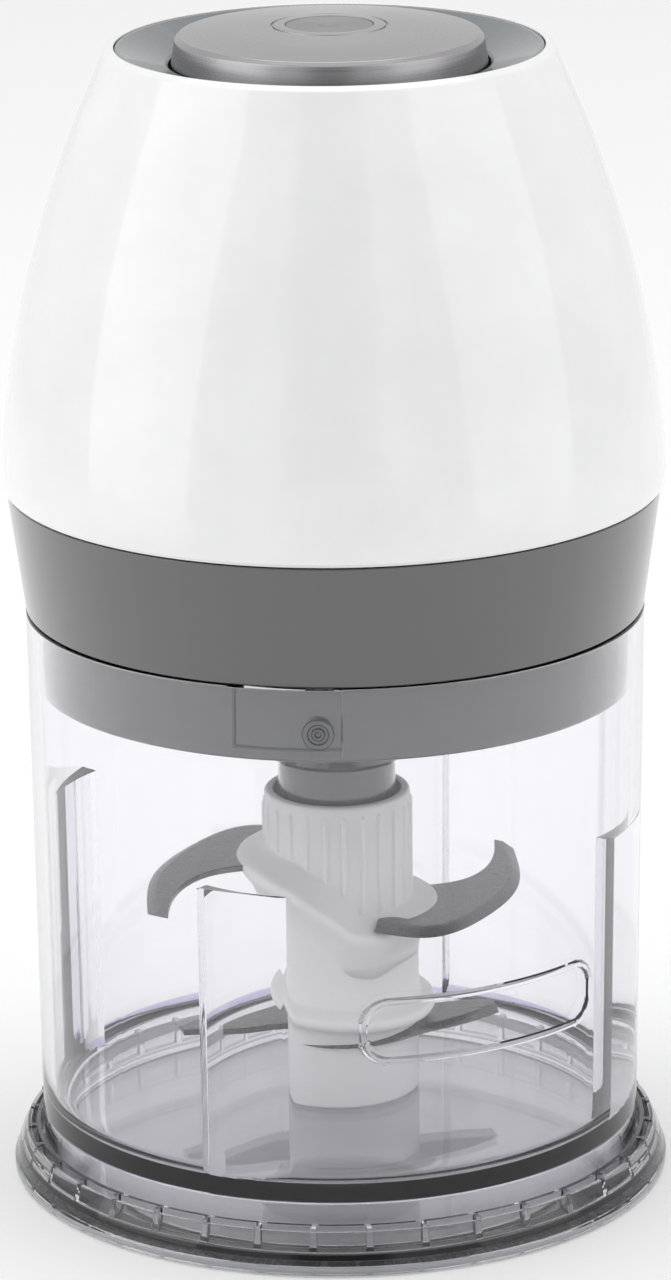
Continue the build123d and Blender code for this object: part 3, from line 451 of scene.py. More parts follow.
@dataclass(frozen=True)
class Effects:
    """The shader groups that several finishes share."""

    grain: bpy.types.NodeTree
    wear: bpy.types.NodeTree
    dust: bpy.types.NodeTree
    ripple: bpy.types.NodeTree

    @classmethod
    def made(cls) -> "Effects":
        """Build every shared group once."""
        return cls(grain_group(), wear_group(), dust_group(), ripple_group())


def new_material(name: str) -> tuple[bpy.types.Material, Graph, bpy.types.Node, bpy.types.Node]:
    """Empty node material.

    Args:
        name: material name.

    Returns:
        The material, its graph helper, its shader and its output node.
    """
    material = bpy.data.materials.new(name)
    material.use_nodes = True
    graph = Graph(material.node_tree)
    shader = material.node_tree.nodes["Principled BSDF"]
    return material, graph, shader, material.node_tree.nodes["Material Output"]


def rgba(colour: Colour) -> tuple[float, float, float, float]:
    """Colour with full alpha."""
    return (*colour, 1.0)


@dataclass(frozen=True)
class Plastic:
    """Opaque moulded plastic or rubber."""

    name: str
    colour: Colour
    roughness: float
    coat: float = 0.0
    grains: float = 3000.0
    depth: float = 0.004
    worn: float = 0.35
    dust: float = 0.15
    milky: float = 0.0
    coat_roughness: float = 0.04
    gloss: float = 0.5

    def build(self, effects: Effects) -> bpy.types.Material:
        """Make the material.

        Args:
            effects: the shared groups.

        Returns:
            The material.
        """
        material, graph, shader, _ = new_material(self.name)
        grain = graph.add("ShaderNodeGroup", {}, node_tree=effects.grain)
        grain.inputs[0].default_value = self.grains
        wear = graph.add("ShaderNodeGroup", {}, node_tree=effects.wear)
        wear.inputs[0].default_value = self.worn
        dust = graph.add("ShaderNodeGroup", {}, node_tree=effects.dust)
        dust.inputs[0].default_value = self.dust
        deeper = tuple(c * 0.93 for c in self.colour)
        pale = tuple(min(1.0, c * 0.72 + 0.24) for c in self.colour)
        mottled = graph.blend(
            graph.stretch(grain.outputs["Mottle"], 0.3, 0.7, 0.0, 1.0), rgba(deeper), rgba(self.colour)
        )
        rubbed = graph.blend(wear.outputs[0], mottled, rgba(pale))
        dusted = graph.blend(dust.outputs[0], rubbed, rgba((0.62, 0.61, 0.6)))
        graph.tree.links.new(dusted, shader.inputs["Base Color"])
        rough = graph.stretch(grain.outputs["Mottle"], 0.3, 0.7, self.roughness * 0.95, self.roughness * 1.05)
        graph.tree.links.new(rough, shader.inputs["Roughness"])
        bump = graph.add(
            "ShaderNodeBump",
            {"Strength": 0.5, "Distance": self.depth * MM, "Height": grain.outputs["Grain"]}
        )
        graph.tree.links.new(bump.outputs[0], shader.inputs["Normal"])
        shader.inputs["Coat Weight"].default_value = self.coat
        shader.inputs["Coat Roughness"].default_value = self.coat_roughness
        shader.inputs["Specular IOR Level"].default_value = self.gloss
        if self.milky:
            shader.inputs["Subsurface Weight"].default_value = self.milky
            shader.inputs["Subsurface Radius"].default_value = (0.004, 0.0036, 0.0032)
            shader.inputs["Subsurface Scale"].default_value = 1.0
        return material


class Lay(Enum):
    """Direction of a metal surface's grain."""

    SPUN = "spun"
    GROUND = "ground"
    CAST = "cast"


@dataclass(frozen=True)
class Metal:
    """Metal with a worked surface."""

    name: str
    colour: Colour
    roughness: float
    lay: Lay = Lay.CAST
    lines: float = 6000.0
    depth: float = 0.004
    stretch: float = 0.0

    def build(self, effects: Effects) -> bpy.types.Material:
        """Make the material.

        Args:
            effects: the shared groups.

        Returns:
            The material.
        """
        material, graph, shader, _ = new_material(self.name)
        where = graph.add("ShaderNodeTexCoord").outputs["Object"]
        if self.lay is Lay.SPUN:
            apart = graph.add("ShaderNodeSeparateXYZ", {0: where})
            flat = graph.add("ShaderNodeCombineXYZ", {0: apart.outputs[0], 1: apart.outputs[1], 2: 0.0})
            reach = graph.add("ShaderNodeVectorMath", {0: flat.outputs[0]}, operation="LENGTH")
            drop = graph.add("ShaderNodeMath", {0: apart.outputs[2], 1: 1.0}, operation="MULTIPLY")
            path = graph.add("ShaderNodeCombineXYZ", {0: reach.outputs["Value"], 1: drop.outputs[0], 2: 0.0})
            lines = graph.add(
                "ShaderNodeTexNoise", {"Vector": path.outputs[0], "Scale": self.lines, "Detail": 4.0}
            )
        elif self.lay is Lay.GROUND:
            along = graph.add(
                "ShaderNodeMapping",
                {"Vector": where, "Scale": (0.12, 1.0, 1.0), "Rotation": (0.0, 0.0, 0.9)}
            )
            lines = graph.add(
                "ShaderNodeTexNoise", {"Vector": along.outputs[0], "Scale": self.lines, "Detail": 4.0}
            )
        else:
            lines = graph.add("ShaderNodeTexNoise", {"Vector": where, "Scale": self.lines, "Detail": 4.0})
        wear = graph.add("ShaderNodeGroup", {}, node_tree=effects.wear)
        dust = graph.add("ShaderNodeGroup", {}, node_tree=effects.dust)
        dust.inputs[0].default_value = 0.08
        deeper = tuple(c * 0.8 for c in self.colour)
        lined = graph.blend(
            graph.stretch(lines.outputs[0], 0.35, 0.65, 0.0, 1.0), rgba(deeper), rgba(self.colour)
        )
        bright = tuple(min(1.0, c * 1.2) for c in self.colour)
        rubbed = graph.blend(wear.outputs[0], lined, rgba(bright))
        dusted = graph.blend(dust.outputs[0], rubbed, rgba((0.5, 0.5, 0.5)))
        graph.tree.links.new(dusted, shader.inputs["Base Color"])
        rough = graph.stretch(lines.outputs[0], 0.3, 0.7, self.roughness * 0.8, self.roughness * 1.2)
        graph.tree.links.new(rough, shader.inputs["Roughness"])
        bump = graph.add(
            "ShaderNodeBump", {"Strength": 0.6, "Distance": self.depth * MM, "Height": lines.outputs[0]}
        )
        graph.tree.links.new(bump.outputs[0], shader.inputs["Normal"])
        shader.inputs["Metallic"].default_value = 1.0
        if self.stretch:
            shader.inputs["Anisotropic"].default_value = self.stretch
            turn = graph.add("ShaderNodeTangent", {}, direction_type="RADIAL", axis="Z")
            graph.tree.links.new(turn.outputs[0], shader.inputs["Tangent"])
        return material


@dataclass(frozen=True)
class Clear:
    """Clear moulded plastic; a violet band of painted shade can be laid round its foot, standing in for the
    dark edges that light bent in the wall gives.
    """

    name: str
    colour: Colour
    # The next three fields are the colour, heights and reach of the painted shade band round the foot.
    painted_shade_colour: Colour
    painted_shade_heights: tuple[float, float] = (0.0, 0.0)
    painted_shade_reach: float = 67.0
    roughness: float = 0.0
    ripple: float = 0.006
    scratches: float = 0.2
    shade: float = 0.95
    index: float = 1.52
    deep_colour: Colour = (0.3, 0.3, 0.6)
    density: float = 0.0

    def build(self, effects: Effects) -> bpy.types.Material:
        """Make the material.

        Args:
            effects: the shared groups.

        Returns:
            The material.
        """
        material, graph, shader, output = new_material(self.name)
        ripple = graph.add("ShaderNodeGroup", {}, node_tree=effects.ripple)
        ripple.inputs[0].default_value = self.scratches
        scratches_and_painted_shade = graph.blend(ripple.outputs["Scratch"], rgba(self.colour), rgba((0.8, 0.8, 0.82)))
        # Painted shade: a violet band on the wall between two heights, outside a reach. It stands in for the
        # dark edges that refraction and inner reflection give, and is laid over the real scratches.
        low, high = self.painted_shade_heights
        if high > low:
            where = graph.add("ShaderNodeTexCoord").outputs["Object"]
            height = graph.add("ShaderNodeSeparateXYZ", {0: where}).outputs[2]
            above = graph.stretch(height, (low - 0.25) * MM, (low + 0.25) * MM, 0.0, 1.0)
            below = graph.stretch(height, (high - 0.25) * MM, (high + 0.25) * MM, 1.0, 0.0)
            plan = graph.add("ShaderNodeVectorMath", {0: where, 1: (1.0, 1.0, 0.0)}, operation="MULTIPLY")
            reach = graph.add(
                "ShaderNodeVectorMath", {0: plan.outputs[0]}, operation="LENGTH"
            ).outputs["Value"]
            rim = graph.stretch(reach, (self.painted_shade_reach - 0.3) * MM, (self.painted_shade_reach + 0.3) * MM, 0.0, 1.0)
            patch = graph.add("ShaderNodeTexNoise", {"Vector": where, "Scale": 90.0, "Detail": 4.0})
            uneven = graph.stretch(patch.outputs[0], 0.35, 0.65, 0.75, 1.0)
            ring = graph.add("ShaderNodeMath", {0: above, 1: rim}, operation="MULTIPLY")
            painted_shade_band = graph.add("ShaderNodeMath", {0: ring.outputs[0], 1: below}, operation="MULTIPLY")
            mask = graph.add("ShaderNodeMath", {0: painted_shade_band.outputs[0], 1: uneven}, operation="MULTIPLY")
            scratches_and_painted_shade = graph.blend(mask.outputs[0], scratches_and_painted_shade, rgba(self.painted_shade_colour))
        graph.tree.links.new(scratches_and_painted_shade, shader.inputs["Base Color"])
        rough = graph.stretch(ripple.outputs["Scratch"], 0.0, 1.0, self.roughness, self.roughness + 0.12)
        graph.tree.links.new(rough, shader.inputs["Roughness"])
        bump = graph.add(
            "ShaderNodeBump",
            {"Strength": 1.0, "Distance": self.ripple * MM, "Height": ripple.outputs["Height"]}
        )
        graph.tree.links.new(bump.outputs[0], shader.inputs["Normal"])
        shader.inputs["Transmission Weight"].default_value = 1.0
        shader.inputs["IOR"].default_value = self.index
        ray = graph.add("ShaderNodeLightPath").outputs["Is Shadow Ray"]
        thin = graph.add("ShaderNodeBsdfTransparent", {0: rgba((self.shade,) * 3)})
        both = graph.add("ShaderNodeMixShader", {0: ray, 1: shader.outputs[0], 2: thin.outputs[0]})
        graph.tree.links.new(both.outputs[0], output.inputs["Surface"])
        if self.density:
            depth = graph.add(
                "ShaderNodeVolumeAbsorption", {"Color": rgba(self.deep_colour), "Density": self.density}
            )
            graph.tree.links.new(depth.outputs[0], output.inputs["Volume"])
        return material


Finish = Plastic | Metal | Clear

FINISHES: dict[str, Finish] = {
    "clear_smoke": Clear(
        "clear base plastic", (0.95, 0.95, 0.96), (0.5, 0.5, 0.55), (0.0, 0.0), shade=0.9,
        deep_colour=(0.42, 0.42, 0.48), density=16.0
    ),
    # The violet colour and the heights 15.1 to 18.6 give the bowl its painted shade band round the foot.
    "clear_bowl": Clear(
        "clear bowl plastic", (0.975, 0.972, 0.99), (0.42, 0.38, 0.74), (15.1, 18.6), shade=0.98,
        deep_colour=(0.38, 0.38, 0.5), density=15.0
    ),
    "clear_soft": Plastic("soft ring", (0.5, 0.5, 0.53), 0.45, dust=0.0),
    "steel": Metal("polished steel", (0.6, 0.6, 0.61), 0.25),
    "natural_plastic": Plastic("natural plastic", (0.72, 0.69, 0.6), 0.4),
    "white_hub": Plastic(
        "white hub plastic", (0.9, 0.895, 0.885), 0.42, grains=5200.0, depth=0.01, worn=0.1, dust=0.0,
        milky=0.35
    ),
    "blade_steel": Metal("blade steel", (0.17, 0.17, 0.175), 0.3, Lay.GROUND, lines=5200.0, depth=0.0015),
    "light_grey": Plastic(
        "light grey plastic", (0.085, 0.087, 0.092), 0.12, coat=1.0, gloss=1.0, depth=0.0004, worn=0.1,
        dust=0.0
    ),
    "bronze": Metal("sintered bronze", (0.5, 0.3, 0.12), 0.4),
    "gear_plastic": Plastic("gear plastic", (0.7, 0.68, 0.62), 0.35),
    "black_plastic": Plastic("black plastic", (0.02, 0.02, 0.022), 0.4),
    "rubber": Plastic("black rubber", (0.018, 0.018, 0.018), 0.65, grains=2600.0, depth=0.02),
    "aluminium": Metal("cast aluminium", (0.7, 0.71, 0.72), 0.38),
    "lamination": Metal("stack lamination", (0.28, 0.28, 0.3), 0.45),
    "copper": Metal("enamelled copper", (0.62, 0.26, 0.11), 0.3),
    "brass": Metal("brass", (0.72, 0.52, 0.2), 0.3),
    "carbon": Plastic("carbon", (0.03, 0.03, 0.032), 0.5),
    "mid_grey": Plastic(
        "grey collar plastic", (0.075, 0.075, 0.077), 0.34, coat=0.9, coat_roughness=0.16, gloss=0.7,
        grains=4200.0, depth=0.006, worn=0.15, dust=0.05
    ),
    "white_gloss": Plastic(
        "glossy white plastic", (0.83, 0.83, 0.835), 0.16, coat=1.0, grains=900.0, depth=0.0012, worn=0.0,
        dust=0.03
    ),
    "dark_grey": Plastic(
        "dish plastic", (0.11, 0.125, 0.135), 0.28, coat=0.4, grains=4200.0, depth=0.006, worn=0.1, dust=0.1
    ),
    "button_metal": Metal(
        "spun button metal", (0.42, 0.41, 0.42), 0.27, Lay.SPUN, lines=9000.0, depth=0.003, stretch=0.55
    ),
    "badge_metal": Metal(
        "badge metal", (0.3, 0.29, 0.3), 0.34, Lay.SPUN, lines=7000.0, depth=0.003, stretch=0.4
    ),
    "yellow_film": Plastic("yellow film", (0.75, 0.55, 0.08), 0.3),
}


class Workshop:
    """Hands out finishes and puts finished pieces on their bodies."""

    def __init__(self) -> None:
        """Build the shared effects; materials follow when first asked for."""
        self.effects = Effects.made()
        self.materials: dict[str, bpy.types.Material] = {}

    def finish(self, slot: str) -> bpy.types.Material:
        """Material of a slot, made once."""
        if slot not in self.materials:
            self.materials[slot] = FINISHES[slot].build(self.effects)
        return self.materials[slot]

    def fit(self, made: bpy.types.Object, slot: str, body: str, *nodes: str) -> bpy.types.Object:
        """Dress a new piece and put it on its body.

        Args:
            made: the piece.
            slot: material slot it takes its finish from.
            body: body it moves with.
            nodes: nodes of the frame that it stands for.

        Returns:
            The piece.
        """
        made.data.materials.clear()
        made.data.materials.append(self.finish(slot))
        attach(made, body)
        if nodes:
            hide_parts(*nodes)
        LOG.info("%s rides on %s with %d faces", made.name, body, len(made.data.polygons))
        return made

    def dress(self, slot: str, *nodes: str) -> None:
        """Give nodes of the frame that stay as they are their finish.

        Args:
            slot: material slot.
            nodes: node names.
        """
        for node in nodes:
            piece = frame["nodes"][node]
            if not piece.material_slots:
                piece.data.materials.append(None)
            for place in piece.material_slots:
                place.material = self.finish(slot)
            LOG.info("%s dressed as %s", node, slot)


# ---- base -----------------------------------------------------------------------------------------
@dataclass
class BaseDisc:
    """Clear base disc with its ribbed gutter, and the soft ring under it."""

    ribs: int = 36
    rib_half: float = 0.52
    ring_inner: float = 69.3
    ring_outer: float = 70.4
    ring_top: float = 10.4
    gutter_outer: float = 71.6
    skirt_top: float = 9.6
    floor_top: float = 3.0
    gutter_floor: float = 4.6

    def disc(self) -> bpy.types.Object:
        """Disc, locating ring, ribs and skirt as one skin."""
        low, _, reach = span("base_disc")
        inside = rounded(
            [
                (0, self.floor_top),
                (30, self.floor_top),
                (self.ring_inner, self.floor_top, 0.4),
                (self.ring_inner, self.ring_top, 0.25),
                (self.ring_outer, self.ring_top, 0.25),
                (self.ring_outer, self.gutter_floor, 0.3),
                (self.gutter_outer, self.gutter_floor, 0.3),
                (self.gutter_outer, self.skirt_top, 0.2),
                (72.4, self.skirt_top, 0.3),
                (72.75, 9.0),
            ]
        )
        skirt = [tuple(p) for p in spline_through([(72.75, 9.0), (73.9, 6.7), (74.55, 4.8), (74.9, 3.1)], 12)]
        under = rounded(
            [
                (74.9, 3.1),
                (reach, 2.3, 0.4),
                (reach, low, 0.35),
                (73.3, low, 0.15),
                (73.3, 1.6),
                (67.7, 1.6),
                (67.7, low, 0.15),
                (30, low),
                (0, low),
            ]
        )
        profile = np.array(inside + skirt[1:] + under[1:], float)
        pitch = 360 / self.ribs
        dense = []
        for rib in range(self.ribs):
            middle = -180 + pitch * (rib + 0.5)
            edge = self.rib_half
            dense += [
                (middle - edge - 0.14, middle - edge, 0.07), (middle + edge, middle + edge + 0.14, 0.07)
            ]
        azimuth = turn_table(1.25, dense)
        off = np.abs((azimuth + 180) % pitch - pitch / 2)
        rib_mask = step_up(off, self.rib_half + 0.12, self.rib_half)[None, :]
        radius, height = profile[:, :1], profile[:, 1:]
        in_gutter = (radius > self.ring_outer - 0.3) & (radius < 72.2) & (height > self.gutter_floor - 0.5)
        lifted = height + (self.ring_top - 0.05 - height) * rib_mask * in_gutter
        return skin("base_disc_clear", ring_grid(radius + 0 * lifted, lifted, azimuth))

    def soft_ring(self) -> bpy.types.Object:
        """Soft ring with a rounded foot."""
        low, high, reach = span("nonslip_ring")
        profile = rounded(
            [
                (70, high), (reach, high, 0.2), (reach, low, 0.7), (67.8, low, 0.7), (67.8, high, 0.2),
                (70, high)
            ]
        )
        return lathe("soft_foot_ring", profile[:-1], 240)

    def build(self, shop: Workshop) -> None:
        """Make and fit both pieces."""
        shop.fit(self.disc(), "clear_smoke", "base", "base_disc")
        shop.fit(self.soft_ring(), "clear_soft", "base", "nonslip_ring")


# ---- bowl -----------------------------------------------------------------------------------------
@dataclass
class Bowl:
    """Clear bowl: drafted wall, floor with its boss, vanes, raised panels with bayonet tracks."""

    foot_radius: float = 68.5
    rim_radius: float = 69.9
    wall: float = 2.8
    floor_under: float = 14.35
    floor_top: float = 17.9
    corner: float = 4.0
    boss_radius: float = 6.0
    boss_top: float = 24.0
    vanes: tuple[float, ...] = (-27.0, 65.0, 156.0, 245.0)
    vane_sweep: float = 19.0
    vane_step: float = 3.9
    vane_top: float = 86.0
    locks: int = 3
    panel: tuple[float, float] = (-19.6, 0.9)
    panel_low: float = 119.2
    panel_rise: float = 0.7
    track_radius: float = 68.7
    track_azimuth: float = -20.0
    lug_azimuth: float = -3.3
    lug_height: float = 123.6
    lug_reach: float = 3.8
    frame_azimuth: float = 29.0
    frame_height: float = 55.2
    frame_size: tuple[float, float, float] = (58.5, 15.2, 6.0)
    frame_border: float = 1.4
    frame_rise: float = 0.5
    notch: tuple[float, float, float] = (170.5, 181.5, 0.25)
    foot_z: float = field(init=False)
    rim_z: float = field(init=False)

    def __post_init__(self) -> None:
        """Take the heights of foot and rim from the frame."""
        self.foot_z, self.rim_z, _ = span("bowl")

    def outer(self, height: np.ndarray) -> np.ndarray:
        """Outer radius of the drafted wall."""
        return self.foot_radius + (
            self.rim_radius - self.foot_radius
        ) * (height - self.foot_z) / (self.rim_z - self.foot_z)

    def track_outline(self) -> list[Row]:
        """Corners of a bayonet track in its sketch plane, as the cutter has them."""

        def along(azimuth: float) -> float:
            """Distance along the sketch plane."""
            return self.track_radius * sin(radians(azimuth - self.track_azimuth))

        low, high = self.lug_height - self.lug_reach, self.lug_height + self.lug_reach
        end = along(self.lug_azimuth)
        bend = [
            (end + self.lug_reach * sin(radians(a)), self.lug_height + self.lug_reach * cos(radians(a)))
            for a in range(0, 181, 15)
        ]
        mouth = self.rim_z + 3
        left = along(-42.0) - (mouth - self.rim_z - 1) * (
            along(-13.4) - along(-42.0)
        ) / (self.rim_z + 1 - low)
        return [
            (along(-13.4), low), (left, mouth), (along(-19.4), mouth), (along(-19.0), 133.0),
            (along(-17.6), 131.0), (along(-10.1), high), *bend
        ]

    def columns(self) -> np.ndarray:
        """Azimuths of the skin's columns, close together where the wall has detail."""
        dense = [(self.frame_azimuth - 26, self.frame_azimuth + 26, 0.3)]
        for lock in range(self.locks):
            turn = 360 / self.locks * lock
            dense.append((self.track_azimuth - 25 + turn, self.panel[1] + 1 + turn, 0.3))
            dense += [(edge - 0.3 + turn, edge + 0.3 + turn, 0.1) for edge in self.panel]
        for vane in self.vanes:
            dense += [(vane - 0.3, vane + 0.5, 0.1), (vane + 0.8, vane + self.vane_sweep, 0.8)]
        dense += [(self.notch[0] - 0.2, self.notch[0] + 0.1, 0.1)]
        return turn_table(1.25, dense)

    def rows(self) -> np.ndarray:
        """Profile of the skin: (radius, height, side), side 1 outside and -1 inside the wall."""
        under = rounded(
            [
                (0, self.floor_under),
                (20, self.floor_under),
                (self.foot_radius - 3, self.floor_under, 0.6),
                (self.foot_radius - 3, self.foot_z, 0.3),
                (self.foot_radius, self.foot_z, 0.5),
                (float(self.outer(8.0)), 8.0),
            ]
        )
        half = self.frame_size[1] / 2 + 0.5
        heights = np.concatenate(
            [
                [10, 13, 14.5, 16, 17.5, 19, 22, 30, 40, 46],
                np.arange(self.frame_height - half, self.frame_height + half + 0.1, 0.3),
                [64.5, 70, 80, 90, 100, 110, 116, 118.3],
                self.panel_low + np.array([-0.3, -0.2, -0.1, 0, 0.12, 0.3, 0.6]),
                [122, 125, 128, 131, 132.5],
                [self.rim_z - 0.7, self.rim_z - 0.5],
            ]
        )
        outside = [(float(self.outer(z)), float(z), 1.0) for z in heights]
        rim_out, rim_in = self.rim_radius, self.rim_radius - self.wall
        top = [
            (
                rim_out - 0.5 + 0.5 * sin(a), self.rim_z - 0.5 + 0.5 * cos(a), 1.0
            ) for a in np.linspace(pi / 2, 0, 5)[1:]
        ]
        top += [
            (
                rim_in + 0.5 - 0.5 * sin(a), self.rim_z - 0.5 + 0.5 * cos(a), -1.0
            ) for a in np.linspace(0, pi / 2, 5)
        ]
        falls = np.concatenate(
            [
                np.arange(self.rim_z - 0.8, self.lug_height - self.lug_reach - 1, -0.3),
                [118, 115, 110, 100, 90, 87, 86.4],
                self.vane_top + np.array([0.2, 0.1, 0, -0.12, -0.3, -0.6, -1.2]),
                [82, 75, 65, 55, 45, 35, 28, 24],
            ]
        )
        inside = [(float(self.outer(z)) - self.wall, float(z), -1.0) for z in falls]
        floor_inner = float(self.outer(self.floor_top)) - self.wall
        bend = [
            (
                floor_inner - self.corner + self.corner * cos(a),
                self.floor_top + self.corner - self.corner * sin(a), -1.0
            )
            for a in np.linspace(0, pi / 2, 9)
        ]
        boss = rounded(
            [
                (floor_inner - self.corner - 1, self.floor_top),
                (40, self.floor_top),
                (15, self.floor_top),
                (self.boss_radius, self.floor_top, 0.8),
                (self.boss_radius, self.boss_top, 0.4),
                (0, self.boss_top),
            ]
        )
        every = [
            (r, z, 0.0) for r, z in under
        ] + outside + top + inside + bend + [(r, z, 0.0) for r, z in boss]
        return np.array(every, float)

    def body(self) -> bpy.types.Object:
        """The whole bowl as one skin."""
        azimuth = self.columns()
        profile = self.rows()
        radius = np.repeat(profile[:, :1], len(azimuth), axis=1)
        height = np.repeat(profile[:, 1:2], len(azimuth), axis=1)
        side = profile[:, 2:]
        column = azimuth[None, :]
        track = self.track_outline()
        grooved = np.zeros_like(radius)
        panelled = np.zeros_like(radius)
        for lock in range(self.locks):
            turn = 360 / self.locks * lock
            off = around(column, turn)
            edges = step_up(
                off, self.panel[0] - 0.25, self.panel[0]
            ) * step_up(off, self.panel[1] + 0.25, self.panel[1])
            panelled = np.maximum(
                panelled, edges * step_up(height, self.panel_low - 0.25, self.panel_low + 0.05)
            )
            swing = around(column, self.track_azimuth + turn)
            along = self.track_radius * np.sin(np.radians(swing)) + 0 * radius
            near = np.abs(swing) < 60
            inside = np.where(near, polygon_distance(along, height, track), 9.0)
            grooved = np.maximum(grooved, step_up(inside, 0.18, -0.18))
        swing = around(column, self.frame_azimuth)
        along = self.foot_radius * np.sin(np.radians(swing)) + 0 * radius
        width, tall, corner = self.frame_size
        edge = rounded_box_distance(along, height - self.frame_height, width, tall, corner)
        edge = np.where(np.abs(swing) < 60, edge, 9.0)
        framed = step_up(
            np.abs(edge + self.frame_border / 2), self.frame_border / 2 + 0.12, self.frame_border / 2 - 0.18
        )
        radius = radius + (side > 0) * (self.panel_rise * panelled + self.frame_rise * framed)
        rim_inner = self.outer(height) - self.wall
        radius = radius + (side < 0) * (self.track_radius - rim_inner) * grooved
        for vane in self.vanes:
            off = around(column, vane)
            share = np.clip(off / self.vane_sweep, 0, 1)
            depth = self.vane_step * (1 - share) ** 1.25 * step_up(off, -0.2, 0.15) * step_up(
                off, self.vane_sweep, self.vane_sweep - 3
            )
            depth = depth * step_up(height, self.vane_top + 0.15, self.vane_top - 0.25)
            radius = np.where(side < 0, np.minimum(radius, self.outer(height) - self.wall - depth), radius)
        start, stop, fall = self.notch
        off = around(column, (start + stop) / 2) + (stop - start) / 2
        ramp = np.where((off > 0) & (off < stop - start), (stop - start - off) * fall, 0.0)
        ramp = ramp * step_up(off, -0.05, 0.05)
        height = np.minimum(height, np.where(height > self.rim_z - 4, self.rim_z - ramp + 0.0, 1e3))
        return skin("bowl_clear", ring_grid(radius, height, azimuth))

    def build(self, shop: Workshop) -> None:
        """Make and fit the bowl."""
        shop.fit(self.body(), "clear_bowl", "bowl", "bowl")


# ---- blade unit -----------------------------------------------------------------------------------
@dataclass
class Wing:
    """One sickle wing: cutting edge outside, back edge home, ground bevel along the cutting edge."""

    cutting: list[Row]
    back: list[Row]
    height: float
    turned: bool = False
    thickness: float = 1.4
    bevel: float = 4.2

    def mesh(self, name: str, stations: int = 72) -> bpy.types.Object:
        """Skin of the wing.

        Args:
            name: object name.
            stations: how many sections along the wing.

        Returns:
            The object.
        """
        front = spline_through(self.cutting, stations)
        rear = spline_through(self.back[::-1], stations)
        across = front - rear
        width = np.linalg.norm(across, axis=1)
        unit = across / width[:, None]
        ground = np.minimum(self.bevel, width * 0.55)
        half = self.thickness / 2
        section = [
            (0.0, -half + 0.15),
            (0.0, half - 0.15),
            (0.15, half),
            (-1.3, half),
            (-1.0, half - 0.03),
            (-0.5, 0.0),
            (-0.08, -half + 0.22),
            (-0.02, -half + 0.08),
            (-0.3, -half),
            (0.15, -half),
        ]
        grid = np.zeros((stations, len(section), 3))
        for index, (place, rise) in enumerate(section):
            at = place + 0 * width if place >= 0 else width + place * ground
            grid[:, index, :2] = rear + unit * at[:, None]
            grid[:, index, 2] = self.height + rise
        if self.turned:
            grid[:, :, :2] *= -1
        return skin(name, grid, caps=True, sharp=14)


